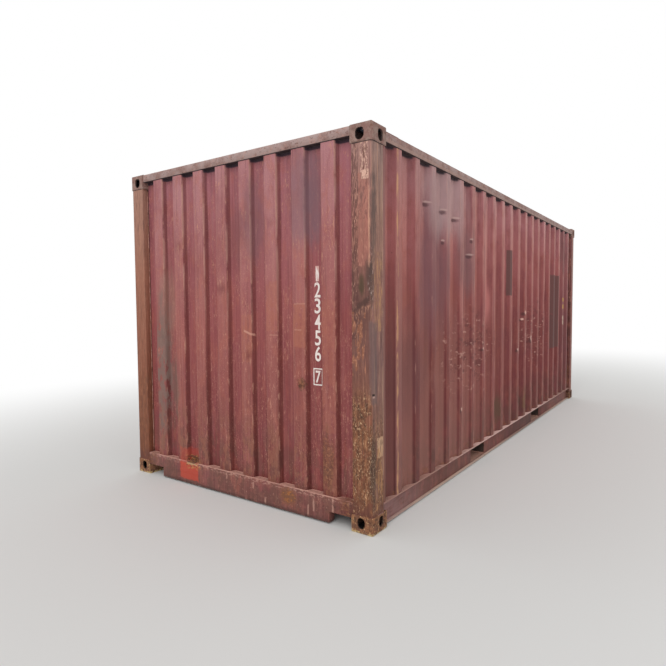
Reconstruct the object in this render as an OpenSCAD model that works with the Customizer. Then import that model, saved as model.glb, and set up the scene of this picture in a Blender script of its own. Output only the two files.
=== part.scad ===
// Twenty foot dry freight container, doors closed.
// X runs along the length with the blind front end at -X and the doors at +X,
// Y runs across, Z is up, and the origin is the middle of the footprint on the ground.

/* [Overall size] */
// Length over the corner castings
length = 6058; // [5700:1:7200]
// Width over the corner castings
width = 2438; // [2340:1:2600]
// Height over the corner castings
height = 2591; // [2438:1:2896]

/* [Corner castings] */
// Size of a casting along the container
casting_length = 178; // [172:1:190]
// Size of a casting across the container
casting_width = 162; // [156:1:170]
// Height of a casting
casting_height = 118; // [114:1:126]
// Thickness of the plate round the long aperture
casting_plate = 28.5; // [25:0.5:31]
// Thickness of the end wall and the side wall
casting_wall = 15; // [11:0.5:20]
// Thickness of the two walls that meet the rails
casting_inner_wall = 11; // [8:0.5:13]
// Thickness of the wall that meets the post
casting_back = 10; // [7:0.5:12]
// Radius of the upright outer edge
casting_corner = 22; // [8:1:28]
// Radius of the level outer edges
casting_edge = 12; // [4:0.5:14]
// Length of the long aperture
aperture_length = 124; // [112:0.5:126]
// Width of the long aperture
aperture_width = 63.5; // [56:0.5:68]
// From the end face to the middle of the long aperture
aperture_from_end = 102.5; // [98:0.5:104]
// From the side face to the middle of the long aperture and of the end hole
aperture_from_side = 89.5; // [80:0.5:95]
// From the end face to the middle of the side hole
side_hole_from_end = 108; // [98:0.5:116]
// Width of the end and side holes of a top casting
top_hole_width = 66; // [54:0.5:70]
// Height of the end and side holes of a top casting
top_hole_height = 76; // [66:0.5:79]
// Width of the end and side holes of a bottom casting
bottom_hole_width = 58; // [46:0.5:60]
// Height of the end and side holes of a bottom casting
bottom_hole_height = 73; // [62:0.5:79]

/* [Corner posts] */
// Distance of the post faces from the casting faces
post_inset = 4; // [2:0.5:8]
// Plate thickness of the pressed posts
post_wall = 6; // [4:0.5:8]
// Width of the end face of a front post
front_post_face = 149; // [135:1:154]
// Width of the side face of a front post
front_post_side = 141; // [125:1:165]
// Outer bend radius of a front post
front_post_bend = 24; // [12:1:40]
// Depth of the lips that return to the wall sheets
front_post_lip = 54; // [52:1:60]
// Length of the side face of a rear post
rear_post_side = 140; // [134:1:160]
// Depth of a rear post from its side face to the door opening
rear_post_depth = 45; // [42:1:52]
// Distance of a rear post's end face from the end of the castings
rear_post_recess = 57; // [54:1:64]
// Length of the inner channel of a rear post
rear_channel_length = 113; // [90:1:120]
// Thickness of the inner channel of a rear post
rear_channel_wall = 12; // [8:0.5:14]

/* [Rails] */
// Distance of the rail faces from the casting faces
rail_inset = 6; // [5:0.5:8]
// Side of the square top rails
top_rail_size = 60; // [54:1:66]
// Wall of the square top rails
top_rail_wall = 3; // [2:0.5:5]
// Height of the underside of the bottom rails above the ground
ground_gap = 12.5; // [10:0.5:16]
// Plate thickness of the bottom rails and sills
bottom_rail_wall = 4.5; // [3:0.5:6]
// Width of the top flange of a bottom side rail
bottom_rail_top_flange = 48; // [46:1:60]
// Width of the bottom flange of a bottom side rail
bottom_rail_foot = 30; // [20:1:44]

/* [Front sill] */
// Height of the front sill's top above the floor
front_sill_rise = 20; // [10:1:40]
// Depth of the front sill's flanges
front_sill_depth = 62; // [60:1:70]
// Underside of the sill's raised ends above the ground
front_sill_end_height = 88; // [60:1:110]
// Length of each raised end, from the casting
front_sill_end_length = 182; // [120:1:240]

/* [Side walls] */
// Sheet thickness of the side walls
side_sheet = 2; // [1.5:0.5:3]
// Distance from one crest to the next
side_pitch = 278; // [272:1:300]
// Width of the flat outer crest
side_crest = 72; // [56:1:84]
// Width of the slope between crest and trough
side_slope = 68; // [50:1:72]
// Depth of the corrugation
side_depth = 36; // [30:1:38]
// From the end of the container to the middle of the first crest
side_first_crest = 374; // [300:1:400]
// Width of the flat strip beside a front post, level with the crests
side_strip = 36; // [20:1:44]
// Distance of the wall crests from the casting faces
crest_inset = 9; // [7:0.5:10]

/* [Front wall] */
// Sheet thickness of the front wall
front_sheet = 2; // [1.5:0.5:3]
// Distance from one crest to the next
front_pitch = 250; // [236:1:256]
// Most crests that the wall may have
front_crests = 8; // [6:1:8]
// Width of the flat outer crest
front_crest = 110; // [90:1:120]
// Width of the slope between crest and trough
front_slope = 18; // [14:1:30]
// Depth of the corrugation
front_depth = 45; // [36:1:46]

/* [Roof] */
// Sheet thickness of the roof
roof_sheet = 2; // [1.5:0.5:3]
// Distance of the roof's highest face below the casting tops
roof_clearance = 6; // [5:0.5:10]
// Distance from one raised pan to the next
roof_pitch = 209; // [190:1:240]
// Width of the top of a pan
roof_crest = 91; // [70:1:110]
// Width of the slope of a pan
roof_slope = 13.5; // [10:0.5:24]
// Height of a pan over the flat sheet
roof_depth = 20; // [14:1:26]
// Flat margin along each side of the roof
roof_side_margin = 118; // [90:1:160]
// From the end of the container to the middle of the first pan
roof_end_margin = 420; // [400:1:520]
// Thickness of the plates beside and between the top castings
corner_plate = 3; // [2:0.5:5]
// Length of the plates beside the top castings
corner_plate_length = 175; // [120:1:180]
// Width of the plates beside the top castings
corner_plate_width = 190; // [120:1:260]

/* [Floor and underframe] */
// Height of the floor's walking surface
floor_top = 170; // [166:1:180]
// Thickness of the plywood floor
floor_thickness = 28; // [21:1:32]
// Length of a whole floor board
floor_board_length = 2440; // [1800:10:3000]
// Joint between two floor boards
floor_joint = 2; // [1:0.5:4]
// Height of a cross member
joist_height = 122; // [100:1:124]
// Flange width of a cross member
joist_flange = 45; // [35:1:60]
// Thickness of a cross member
joist_wall = 4; // [3:0.5:6]
// Largest distance between cross members
joist_pitch = 300; // [240:10:360]

/* [Fork pockets] */
// Clear width of a fork pocket
pocket_width = 360; // [320:1:400]
// Clear height of a fork pocket
pocket_height = 114; // [100:1:116]
// Distance between the middles of the two pockets
pocket_spacing = 2050; // [1500:1:2200]
// Thickness of the plate over a pocket
pocket_plate = 4; // [3:0.5:6]
// Depth of the straps that close the pocket's mouths below
pocket_strap = 200; // [120:1:300]

/* [Door end] */
// Distance of the door faces from the end of the castings
door_recess = 62; // [58:1:70]
// Height of the door header
door_header_height = 135; // [120:1:160]
// Depth of the door header
door_header_depth = 80; // [60:1:100]
// Depth of the door sill
door_sill_depth = 104; // [70:1:110]
// Height of the door sill's underside above the ground
door_sill_gap = 20; // [14:1:30]
// Gap round each door leaf, filled by the gasket
door_gap = 14; // [10:1:20]
// Gap between the two leaves
leaf_gap = 16; // [10:1:24]
// Depth of the gasket
gasket_depth = 38; // [24:1:44]
// Distance between the two gaskets where the leaves meet
gasket_clearance = 0.5; // [0.3:0.1:1.5]
// Depth of a leaf
leaf_depth = 50; // [46:1:60]
// Width of the leaf's upright tubes
stile_width = 100; // [80:1:120]
// Height of the leaf's top and bottom channels
leaf_rail_height = 150; // [120:1:180]
// Plate thickness of the leaf's frame
leaf_frame_wall = 3.2; // [2.5:0.1:4]
// Sheet thickness of the leaf's panel
door_sheet = 2; // [1.5:0.5:3]
// Number of crests in a leaf's panel
door_crests = 5; // [3:2:7]
// Height of the flat outer crest
door_crest = 210; // [160:1:220]
// Height of the slope between crest and trough
door_slope = 36; // [20:1:40]
// Depth of the corrugation
door_depth = 36; // [24:1:42]

/* [Door gear] */
// Diameter of a locking bar
bar_diameter = 34; // [27:1:38]
// Wall of a locking bar
bar_wall = 3; // [2:0.5:5]
// Distance of the bars' axes from the door faces
bar_standoff = 27; // [24:1:30]
// From the container's middle plane to the inner bars
bar_inner = 300; // [220:1:380]
// From the container's middle plane to the outer bars
bar_outer = 880; // [800:1:920]
// Running clearance of a bar or pin in its bore
running_gap = 0.3; // [0.2:0.1:0.6]
// How far a bar runs past the door opening, to its cams
bar_end = 30; // [10:1:40]
// Thickness of a bar bracket's foot and saddle
bracket_wall = 5; // [3:0.5:8]
// Height of a bar bracket
bracket_height = 60; // [40:1:80]
// Width of a bar bracket
bracket_width = 84; // [66:1:110]
// Height of a cam
cam_height = 26; // [20:1:32]
// Thickness of a cam's ring and of its keeper's lips
cam_wall = 5; // [3:0.5:7]
// Reach of a cam from the bar's axis
cam_reach = 46; // [40:1:56]
// Length of a handle
handle_length = 430; // [360:1:460]
// Height of a handle's flat bar
handle_height = 32; // [24:1:40]
// Thickness of a handle's flat bar
handle_thickness = 10; // [8:1:12]
// Height of a handle's hub
hub_height = 40; // [34:1:60]
// Wall of a handle's hub
hub_wall = 6; // [4:0.5:8]
// Width of a handle's retainer
retainer_width = 40; // [24:1:60]
// Thickness of a retainer's jaws
retainer_jaw = 6; // [4:0.5:8]
// From the end of a handle to the middle of its retainer
retainer_inset = 40; // [30:1:60]
// Vertical distance between the two handles of a leaf
handle_step = 110; // [90:1:120]
// Height of a hinge barrel
hinge_height = 90; // [70:1:120]
// Diameter of a hinge pin
hinge_pin = 16; // [12:1:18]
// Outer radius of a hinge barrel
hinge_radius = 14; // [12:1:16]
// Distance of a hinge barrel from the door face
hinge_standoff = 12; // [8:1:16]
// Thickness of a hinge blade
hinge_blade = 8; // [6:1:10]
// Height of a hinge lug
hinge_lug = 20; // [14:1:28]
// Gap between a hinge barrel and its lugs
hinge_play = 0.8; // [0.3:0.1:0.9]

/* [Hidden] */
$fn = 64;

red_paint = [0.50, 0.27, 0.26];
rail_paint = [0.55, 0.38, 0.34];
rusty_steel = [0.52, 0.34, 0.24];
roof_paint = [0.47, 0.29, 0.27];
frame_black = [0.16, 0.13, 0.12];
plywood = [0.55, 0.42, 0.28];
rubber_black = [0.07, 0.07, 0.07];
zinc_steel = [0.55, 0.53, 0.50];

over = 1;

// Planes that the pieces share
front_x = -length / 2;
rear_x = length / 2;
side_y = width / 2;
casting_front_x = front_x + casting_length;
casting_rear_x = rear_x - casting_length;
casting_inner_y = side_y - casting_width;
post_bottom = casting_height;
post_top = height - casting_height;
front_post_x = front_x + post_inset + front_post_side;
front_post_y = side_y - post_inset - front_post_face;
rear_post_back = rear_x - rear_post_recess;
rear_post_x = rear_post_back - rear_post_side;
door_open_y = side_y - post_inset - rear_post_depth;
rail_y = side_y - rail_inset;
rail_web_y = rail_y - bottom_rail_top_flange;
crest_y = side_y - crest_inset;
crest_x = front_x + crest_inset;

// Levels
roof_top = height - roof_clearance;
roof_base = roof_top - roof_depth - roof_sheet;
top_rail_bottom = roof_base - top_rail_size;
header_bottom = roof_top - top_rail_size;
joist_top = floor_top - floor_thickness;
foot_top = ground_gap + bottom_rail_wall;
front_sill_top = floor_top + front_sill_rise;
front_sill_x = front_x + rail_inset;
front_sill_back = front_sill_x + front_sill_depth;
front_header_back = front_sill_x + top_rail_size;

// Door end
door_x = rear_x - door_recess;
door_open_top = roof_top - door_header_height;
leaf_inner_y = leaf_gap / 2;
leaf_outer_y = door_open_y - door_gap;
leaf_bottom = floor_top + door_gap;
leaf_top = door_open_top - door_gap;
panel_bottom = leaf_bottom + leaf_rail_height;
panel_top = leaf_top - leaf_rail_height;
panel_pitch = (panel_top - panel_bottom) / door_crests;
door_sill_x = door_x - door_sill_depth;
bar_x = door_x + bar_standoff;
bar_radius = bar_diameter / 2;
bar_bottom = floor_top - bar_end - cam_height;
bar_top = door_open_top + bar_end + cam_height;
bracket_levels = [
    leaf_bottom + leaf_rail_height / 2,
    panel_bottom + 1.5 * panel_pitch,
    panel_top - 1.5 * panel_pitch,
    leaf_top - leaf_rail_height / 2
];
handle_level = (panel_bottom + panel_top) / 2;
hinge_levels = [for (i = [0:3]) leaf_bottom + leaf_rail_height + i * (panel_top - panel_bottom) / 3];
hinge_pin_y = side_y - post_inset - rear_post_depth / 2;
hinge_pin_x = door_x + hinge_radius + hinge_standoff;

function reversed(points) = [for (i = [len(points) - 1:-1:0]) points[i]];

// Corner points of one face of a corrugated sheet, along the sheet and depth inward: it starts in a trough, or
// with a strip at crest level where a strip is given
function wave(first, pitch, count, crest, slope, depth, start, end, strip) = concat(
    strip == 0 ? [[start, depth]] : [
        [start, 0],
        [start + strip, 0],
        [min(start + strip + slope, first - crest / 2 - slope), depth]
    ],
    [for (i = [0:count - 1]) let (middle = first + i * pitch) each [
        [middle - crest / 2 - slope, depth],
        [middle - crest / 2, 0],
        [middle + crest / 2, 0],
        [middle + crest / 2 + slope, depth]
    ]],
    [[end, depth]]
);

// Outline of a corrugated sheet of even thickness: the outer face, then the inner face back again
function sheet_outline(first, pitch, count, crest, slope, depth, start, end, thickness, strip = 0) =
    let (
        narrowing = 2 * thickness * (norm([slope, depth]) - slope) / depth,
        inner_strip = strip == 0 ? 0 : strip - narrowing / 2
    )
    concat(
        wave(first, pitch, count, crest, slope, depth, start, end, strip),
        reversed([
            for (p = wave(first, pitch, count, crest - narrowing, slope, depth, start, end, inner_strip))
                [p.x, p.y + thickness]
        ])
    );

// Places that divide a stretch evenly, none further apart than the pitch
function divided(low, high, pitch) =
    let (parts = ceil((high - low) / pitch))
    [for (i = [1:parts - 1]) low + (high - low) * i / parts];

module mirrored(axis, wanted) {
    if (wanted) mirror(axis) children();
    else children();
}

// Block between two limits on each axis
module block(x, y, z) {
    translate([x[0], y[0], z[0]]) cube([x[1] - x[0], y[1] - y[0], z[1] - z[0]]);
}

// Rectangle with one round corner, at the origin
module one_round_corner(a, b, radius) {
    translate([radius, 0]) square([a - radius, b]);
    translate([0, radius]) square([a, b - radius]);
    translate([radius, radius]) circle(radius);
}

// Slot with round ends that runs along X, in the middle of the origin
module slot_outline(span, breadth) {
    straight = span - breadth;
    translate([-straight / 2, -breadth / 2]) square([straight, breadth]);
    for (end = [-1, 1]) translate([end * straight / 2, 0]) circle(breadth / 2);
}

// Shield with a round foot and wide round shoulders; its flat top lies on Y = 0
module shield_outline(breadth, tall) {
    shoulder = 0.4 * breadth;
    radius = breadth / 2;
    translate([0, radius - tall]) circle(radius);
    translate([-radius, radius - tall]) square([breadth, tall - radius - shoulder]);
    translate([-radius + shoulder, -2 * shoulder]) square([breadth - 2 * shoulder, 2 * shoulder]);
    for (end = [-1, 1]) translate([end * (radius - shoulder), -shoulder]) circle(shoulder);
}

// Hole of an end or side wall, seen from outside; the aperture plate is below it
module wall_hole(top) {
    if (top) translate([0, casting_plate]) mirror([0, 1]) shield_outline(top_hole_width, top_hole_height);
    else translate([0, (casting_plate + casting_height - casting_back) / 2]) rotate(90)
        slot_outline(bottom_hole_height, bottom_hole_width);
}

// Casting with its outer corner at the origin and its long aperture downward
module casting_body(top) {
    difference() {
        intersection() {
            linear_extrude(casting_height)
                one_round_corner(casting_length, casting_width, casting_corner);
            translate([0, casting_width, 0]) rotate([90, 0, 0]) linear_extrude(casting_width)
                one_round_corner(casting_length, casting_height, casting_edge);
            rotate([90, 0, 90]) linear_extrude(casting_length)
                one_round_corner(casting_width, casting_height, casting_edge);
        }
        block(
            [casting_wall, casting_length - casting_inner_wall],
            [casting_wall, casting_width - casting_inner_wall],
            [casting_plate, casting_height - casting_back]
        );
        translate([aperture_from_end, aperture_from_side, -over])
            linear_extrude(casting_plate + 2 * over) slot_outline(aperture_length, aperture_width);
        translate([-over, aperture_from_side, 0]) rotate([90, 0, 90])
            linear_extrude(casting_wall + 2 * over) wall_hole(top);
        translate([side_hole_from_end, casting_wall + over, 0]) rotate([90, 0, 0])
            linear_extrude(casting_wall + 2 * over) wall_hole(top);
    }
}

module casting(rear, right, top) {
    color(top ? rail_paint : rusty_steel)
        mirrored([1, 0, 0], rear) mirrored([0, 1, 0], right)
        translate([front_x, -side_y, top ? height : 0]) mirrored([0, 0, 1], top)
        casting_body(top);
}

// Pressed angle with a lip on each edge, open towards the cargo space
module front_post(right) {
    color(rusty_steel) mirrored([0, 1, 0], right)
        translate([front_x + post_inset, post_inset - side_y, post_bottom])
        linear_extrude(post_top - post_bottom) difference() {
            one_round_corner(front_post_side, front_post_face, front_post_bend);
            translate([post_wall, post_wall]) one_round_corner(
                front_post_side - 2 * post_wall, front_post_face - 2 * post_wall,
                front_post_bend - post_wall
            );
            translate([front_post_lip, front_post_lip]) square([front_post_side, front_post_face]);
        }
}

// Pressed outer channel with a thick channel set into its open side
module rear_post(right) {
    inner = rear_post_depth - rear_channel_wall;
    channel_start = rear_post_side - post_wall - rear_channel_length;
    color(red_paint) mirrored([0, 1, 0], !right)
        translate([rear_post_x, side_y - post_inset - rear_post_depth, post_bottom])
        linear_extrude(post_top - post_bottom) {
            translate([0, rear_post_depth - post_wall]) square([rear_post_side, post_wall]);
            for (x = [0, rear_post_side - post_wall]) translate([x, 0]) square([post_wall, rear_post_depth]);
            translate([channel_start, 0]) square([rear_channel_length, rear_channel_wall]);
            translate([channel_start, 0]) square([rear_channel_wall, rear_post_depth - post_wall]);
        }
}

module top_rail(right) {
    color(rail_paint) mirrored([0, 1, 0], !right) difference() {
        block([casting_front_x, casting_rear_x], [rail_y - top_rail_size, rail_y], [top_rail_bottom, roof_base]);
        block(
            [casting_front_x - over, casting_rear_x + over],
            [rail_y - top_rail_size + top_rail_wall, rail_y - top_rail_wall],
            [top_rail_bottom + top_rail_wall, roof_base - top_rail_wall]
        );
    }
}

module front_header() {
    color(rail_paint) difference() {
        block([front_sill_x, front_header_back], [-casting_inner_y, casting_inner_y], [header_bottom, roof_top]);
        block(
            [front_sill_x + top_rail_wall, front_header_back - top_rail_wall],
            [-casting_inner_y - over, casting_inner_y + over],
            [header_bottom + top_rail_wall, roof_top - top_rail_wall]
        );
    }
}

// Room of the two rear castings at one level, wider than the pieces between them
module beside_castings(low, high) {
    for (y = [[-side_y, -casting_inner_y], [casting_inner_y, side_y]])
        block([casting_rear_x, rear_x], y, [low, high]);
}

// Channel with its web flush with the doors
module door_header() {
    wall = bottom_rail_wall;
    color(red_paint) difference() {
        block([door_x - door_header_depth, door_x], [-door_open_y, door_open_y], [door_open_top, roof_top]);
        block(
            [door_x - door_header_depth - over, door_x - wall],
            [-door_open_y - over, door_open_y + over],
            [door_open_top + wall, roof_top - wall]
        );
        beside_castings(post_top, height + over);
    }
}

module door_sill() {
    wall = bottom_rail_wall;
    color(red_paint) difference() {
        block([door_sill_x, door_x], [-door_open_y, door_open_y], [door_sill_gap, floor_top]);
        block(
            [door_sill_x - over, door_x - wall],
            [-door_open_y - over, door_open_y + over],
            [door_sill_gap + wall, floor_top - wall]
        );
        beside_castings(-over, post_bottom);
    }
}

// Middle of each fork pocket
function pocket_x(rear) = (rear ? 1 : -1) * pocket_spacing / 2;

// Channel open outward; it passes over the castings to meet the posts
module bottom_rail(right) {
    web = [rail_web_y, rail_web_y + bottom_rail_wall];
    color(rail_paint) mirrored([0, 1, 0], !right) difference() {
        union() {
            block([casting_front_x, casting_rear_x], web, [ground_gap, post_bottom]);
            block([front_post_x, rear_post_x], web, [post_bottom, floor_top]);
            block(
                [casting_front_x, casting_rear_x], [rail_web_y, rail_web_y + bottom_rail_foot],
                [ground_gap, foot_top]
            );
            block([front_post_x, rear_post_x], [rail_web_y, rail_y], [floor_top - bottom_rail_wall, floor_top]);
        }
        for (rear = [false, true]) block(
            [pocket_x(rear) - pocket_width / 2, pocket_x(rear) + pocket_width / 2],
            [rail_web_y - over, rail_web_y + bottom_rail_wall + over],
            [foot_top, foot_top + pocket_height]
        );
    }
}

// Channel deep in the middle and raised beside the castings, with a shelf on gussets for the floor
module front_sill() {
    wall = bottom_rail_wall;
    deep_y = casting_inner_y - front_sill_end_length;
    shelf_back = front_post_x + joist_flange / 2;
    shelf_bottom = joist_top - wall;
    gusset_bottom = front_sill_end_height + wall;
    color(rail_paint) {
        block([front_sill_x, front_sill_x + wall], [-deep_y, deep_y], [ground_gap, front_sill_top]);
        block([front_sill_x, front_sill_back], [-deep_y, deep_y], [ground_gap, foot_top]);
        for (side = [-1, 1]) mirrored([0, 1, 0], side < 0) {
            block([front_sill_x, front_sill_x + wall], [deep_y - over, casting_inner_y],
                [front_sill_end_height, front_sill_top]);
            block([front_sill_x, front_sill_back], [deep_y - wall, casting_inner_y],
                [front_sill_end_height, front_sill_end_height + wall]);
            block([front_sill_x, front_sill_back], [deep_y - wall, deep_y],
                [ground_gap, front_sill_end_height + wall]);
        }
        block([front_sill_x, front_sill_x + wall], [-front_post_y, front_post_y], [post_bottom, front_sill_top]);
        block([front_sill_x, front_sill_back], [-front_post_y, front_post_y],
            [front_sill_top - wall, front_sill_top]);
        block([front_sill_x, shelf_back], [-front_post_y, front_post_y], [shelf_bottom, joist_top]);
        for (y = divided(-casting_inner_y, casting_inner_y, joist_pitch))
            translate([0, y + wall / 2, 0]) rotate([90, 0, 0]) linear_extrude(wall) polygon([
                [front_sill_x + wall - over, gusset_bottom], [front_sill_x + wall, gusset_bottom],
                [shelf_back, shelf_bottom], [shelf_back, shelf_bottom + over],
                [front_sill_x + wall - over, shelf_bottom + over]
            ]);
    }
}

// Channel across the container, web at x, flanges towards the side given
module cross_channel(x, facing, low) {
    reach = rail_web_y;
    web = facing > 0 ? [x, x + joist_wall] : [x - joist_wall, x];
    flange = facing > 0 ? [x, x + joist_flange] : [x - joist_flange, x];
    block(web, [-reach, reach], [low, joist_top]);
    block(flange, [-reach, reach], [low, low + joist_wall]);
    block(flange, [-reach, reach], [joist_top - joist_wall, joist_top]);
}

module cross_members() {
    pocket_side = pocket_width / 2 + joist_flange;
    stretches = [
        [front_sill_back, pocket_x(false) - pocket_side],
        [pocket_x(false) + pocket_side, pocket_x(true) - pocket_side],
        [pocket_x(true) + pocket_side, door_sill_x]
    ];
    color(frame_black) for (stretch = stretches) for (x = divided(stretch[0], stretch[1], joist_pitch))
        cross_channel(x - joist_flange / 2, 1, joist_top - joist_height);
}

// Two channels back to back with the tunnel between them, a plate over it and straps below its mouths
module fork_pocket(rear) {
    middle = pocket_x(rear);
    half = pocket_width / 2;
    color(frame_black) {
        for (side = [-1, 1]) cross_channel(middle + side * half, side, foot_top);
        block(
            [middle - half, middle + half], [-rail_web_y, rail_web_y],
            [foot_top + pocket_height, foot_top + pocket_height + pocket_plate]
        );
        for (side = [-1, 1]) mirrored([0, 1, 0], side < 0) block(
            [middle - half - joist_flange, middle + half + joist_flange],
            [rail_web_y - pocket_strap, rail_web_y], [ground_gap, foot_top]
        );
    }
}

// Boards in two rows: a short one between the front posts, then whole ones and what length is left
module floor_boards() {
    ends = concat(
        [front_sill_x + bottom_rail_wall],
        [for (x = [front_post_x:floor_board_length:door_sill_x - joist_flange]) x],
        [door_sill_x]
    );
    last = len(ends) - 2;
    color(plywood) for (side = [-1, 1]) mirrored([0, 1, 0], side < 0) for (i = [0:last]) block(
        [ends[i] + (i == 0 ? 0 : floor_joint / 2), ends[i + 1] - (i == last ? 0 : floor_joint / 2)],
        [floor_joint / 2, i == 0 ? front_post_y : rail_web_y], [joist_top, floor_top]
    );
}

module side_wall(right) {
    span = rear_post_x - front_post_x;
    first = front_x + side_first_crest;
    count = floor((rear_post_x - first - side_crest / 2 - side_slope) / side_pitch) + 1;
    color(red_paint) mirrored([0, 1, 0], !right) difference() {
        translate([0, crest_y, floor_top]) mirror([0, 1, 0]) linear_extrude(top_rail_bottom - floor_top)
            polygon(sheet_outline(
                first, side_pitch, count, side_crest, side_slope, side_depth,
                front_post_x, rear_post_x, side_sheet, side_strip
            ));
        block([front_x, casting_front_x], [0, side_y], [post_top, height]);
        block([casting_rear_x, rear_x], [0, side_y], [post_top, height]);
    }
}

module front_wall() {
    room = 2 * (front_post_y - front_slope) - front_crest;
    count = min(front_crests, floor(room / front_pitch) + 1);
    outline = sheet_outline(
        -front_pitch * (count - 1) / 2, front_pitch, count, front_crest, front_slope, front_depth,
        -front_post_y, front_post_y, front_sheet
    );
    color(red_paint) difference() {
        translate([crest_x, 0, front_sill_top]) linear_extrude(header_bottom - front_sill_top)
            polygon([for (p = outline) [p.y, p.x]]);
        for (y = [[-side_y, -casting_inner_y], [casting_inner_y, side_y]])
            block([front_x, casting_front_x], y, [post_top, height]);
    }
}

// Raised pan of the roof, or the hollow under it where an inset is given
module roof_pan(x, inset, drop) {
    side = (norm([roof_slope, roof_depth]) - roof_slope) / roof_depth * inset;
    top = roof_crest / 2 - side;
    foot = top + roof_slope;
    reach = rail_y - roof_side_margin - inset;
    translate([x, reach, roof_base + roof_sheet - inset]) rotate([90, 0, 0]) linear_extrude(2 * reach)
        polygon([[-foot, -drop], [foot, -drop], [foot, 0], [top, roof_depth], [-top, roof_depth], [-foot, 0]]);
}

module roof_panel() {
    pans = divided(front_x + roof_end_margin - roof_pitch, rear_x - roof_end_margin + roof_pitch, roof_pitch);
    color(roof_paint) difference() {
        union() {
            block([casting_front_x, casting_rear_x], [-rail_y, rail_y], [roof_base, roof_base + roof_sheet]);
            for (x = pans) roof_pan(x, 0, roof_sheet / 2);
        }
        for (x = pans) roof_pan(x, roof_sheet, over);
    }
}

// Flat plates between the top castings, from each header to the roof panel
module header_plates() {
    color(roof_paint) for (x = [[front_header_back, casting_front_x], [casting_rear_x, door_x - bottom_rail_wall]])
        block(x, [-casting_inner_y, casting_inner_y], [roof_base, roof_base + corner_plate]);
}

// Flat plates on the roof sheet beside the top castings
module roof_corner_plates() {
    low = roof_base + roof_sheet;
    color(roof_paint) for (rear = [false, true]) for (right = [false, true])
        mirrored([1, 0, 0], rear) mirrored([0, 1, 0], right) block(
            [casting_front_x, casting_front_x + corner_plate_length],
            [-rail_y, corner_plate_width - rail_y], [low, low + corner_plate]
        );
}

// Two upright tubes joined by a channel above and one below
module door_frame(right) {
    back = door_x - leaf_depth;
    wall = leaf_frame_wall;
    stiles = [[leaf_inner_y, leaf_inner_y + stile_width], [leaf_outer_y - stile_width, leaf_outer_y]];
    rails = [[leaf_bottom, panel_bottom], [panel_top, leaf_top]];
    color(red_paint) mirrored([0, 1, 0], !right) {
        for (y = stiles) difference() {
            block([back, door_x], y, [leaf_bottom, leaf_top]);
            block([back + wall, door_x - wall], [y[0] + wall, y[1] - wall], [leaf_bottom - over, leaf_top + over]);
        }
        for (z = rails) difference() {
            block([back, door_x], [stiles[0][1], stiles[1][0]], z);
            block(
                [back - over, door_x - wall], [stiles[0][1] - over, stiles[1][0] + over],
                [z[0] + wall, z[1] - wall]
            );
        }
    }
}

module door_panel(right) {
    span = [leaf_inner_y + stile_width, leaf_outer_y - stile_width];
    outline = sheet_outline(
        panel_bottom + panel_pitch / 2, panel_pitch, door_crests, door_crest, door_slope, door_depth,
        panel_bottom, panel_top, door_sheet
    );
    color(red_paint) mirrored([0, 1, 0], !right)
        translate([0, span[1], 0]) rotate([90, 0, 0]) linear_extrude(span[1] - span[0])
        polygon([for (p = outline) [door_x - p.y, p.x]]);
}

module door_gasket(right) {
    back = door_x - leaf_depth / 2 - gasket_depth / 2;
    color(rubber_black) mirrored([0, 1, 0], !right) difference() {
        block([back, back + gasket_depth], [gasket_clearance / 2, door_open_y], [floor_top, door_open_top]);
        block([back - over, back + gasket_depth + over], [leaf_inner_y, leaf_outer_y], [leaf_bottom, leaf_top]);
    }
}

// Blade on the leaf that ends in a barrel
module hinge_leaf() {
    blade_y = leaf_outer_y - stile_width + hinge_blade;
    difference() {
        linear_extrude(hinge_height) {
            translate([door_x, blade_y]) square([hinge_blade, leaf_outer_y - blade_y]);
            polygon([
                [door_x, leaf_outer_y - hinge_blade],
                [hinge_pin_x - hinge_radius / 2, hinge_pin_y],
                [hinge_pin_x + hinge_radius / 2, hinge_pin_y],
                [door_x + hinge_blade, leaf_outer_y - hinge_blade]
            ]);
            translate([hinge_pin_x, hinge_pin_y]) circle(hinge_radius);
        }
        translate([hinge_pin_x, hinge_pin_y, -over])
            cylinder(r = hinge_pin / 2 + running_gap, h = hinge_height + 2 * over);
    }
}

// Pin held by two lugs on the post
module hinge_lugs() {
    for (z = [-hinge_lug - hinge_play, hinge_height + hinge_play]) translate([0, 0, z]) linear_extrude(hinge_lug) {
        translate([rear_post_back, hinge_pin_y - hinge_radius])
            square([hinge_pin_x - rear_post_back, 2 * hinge_radius]);
        translate([hinge_pin_x, hinge_pin_y]) circle(hinge_radius);
    }
    translate([hinge_pin_x, hinge_pin_y, -hinge_lug - hinge_play])
        cylinder(r = hinge_pin / 2, h = hinge_height + 2 * (hinge_lug + hinge_play));
}

module door_hinges(right) {
    color(red_paint) mirrored([0, 1, 0], !right) for (z = hinge_levels)
        translate([0, 0, z - hinge_height / 2]) {
            hinge_leaf();
            hinge_lugs();
        }
}

// Nose that turns behind the keeper
module cam() {
    linear_extrude(cam_height) {
        circle(bar_radius + cam_wall);
        translate([-bar_radius / 2, 0]) square([bar_radius, cam_reach]);
    }
}

module locking_bar(y) {
    translate([bar_x, y, 0]) {
        difference() {
            translate([0, 0, bar_bottom]) cylinder(r = bar_radius, h = bar_top - bar_bottom);
            translate([0, 0, bar_bottom - over])
                cylinder(r = bar_radius - bar_wall, h = bar_top - bar_bottom + 2 * over);
        }
        for (z = [bar_bottom, bar_top - cam_height]) translate([0, 0, z]) difference() {
            cam();
            translate([0, 0, -over]) cylinder(r = bar_radius - bar_wall, h = cam_height + 2 * over);
        }
    }
}

module locking_bars(right) {
    color(zinc_steel) mirrored([0, 1, 0], !right) for (y = [bar_inner, bar_outer]) locking_bar(y);
}

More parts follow.
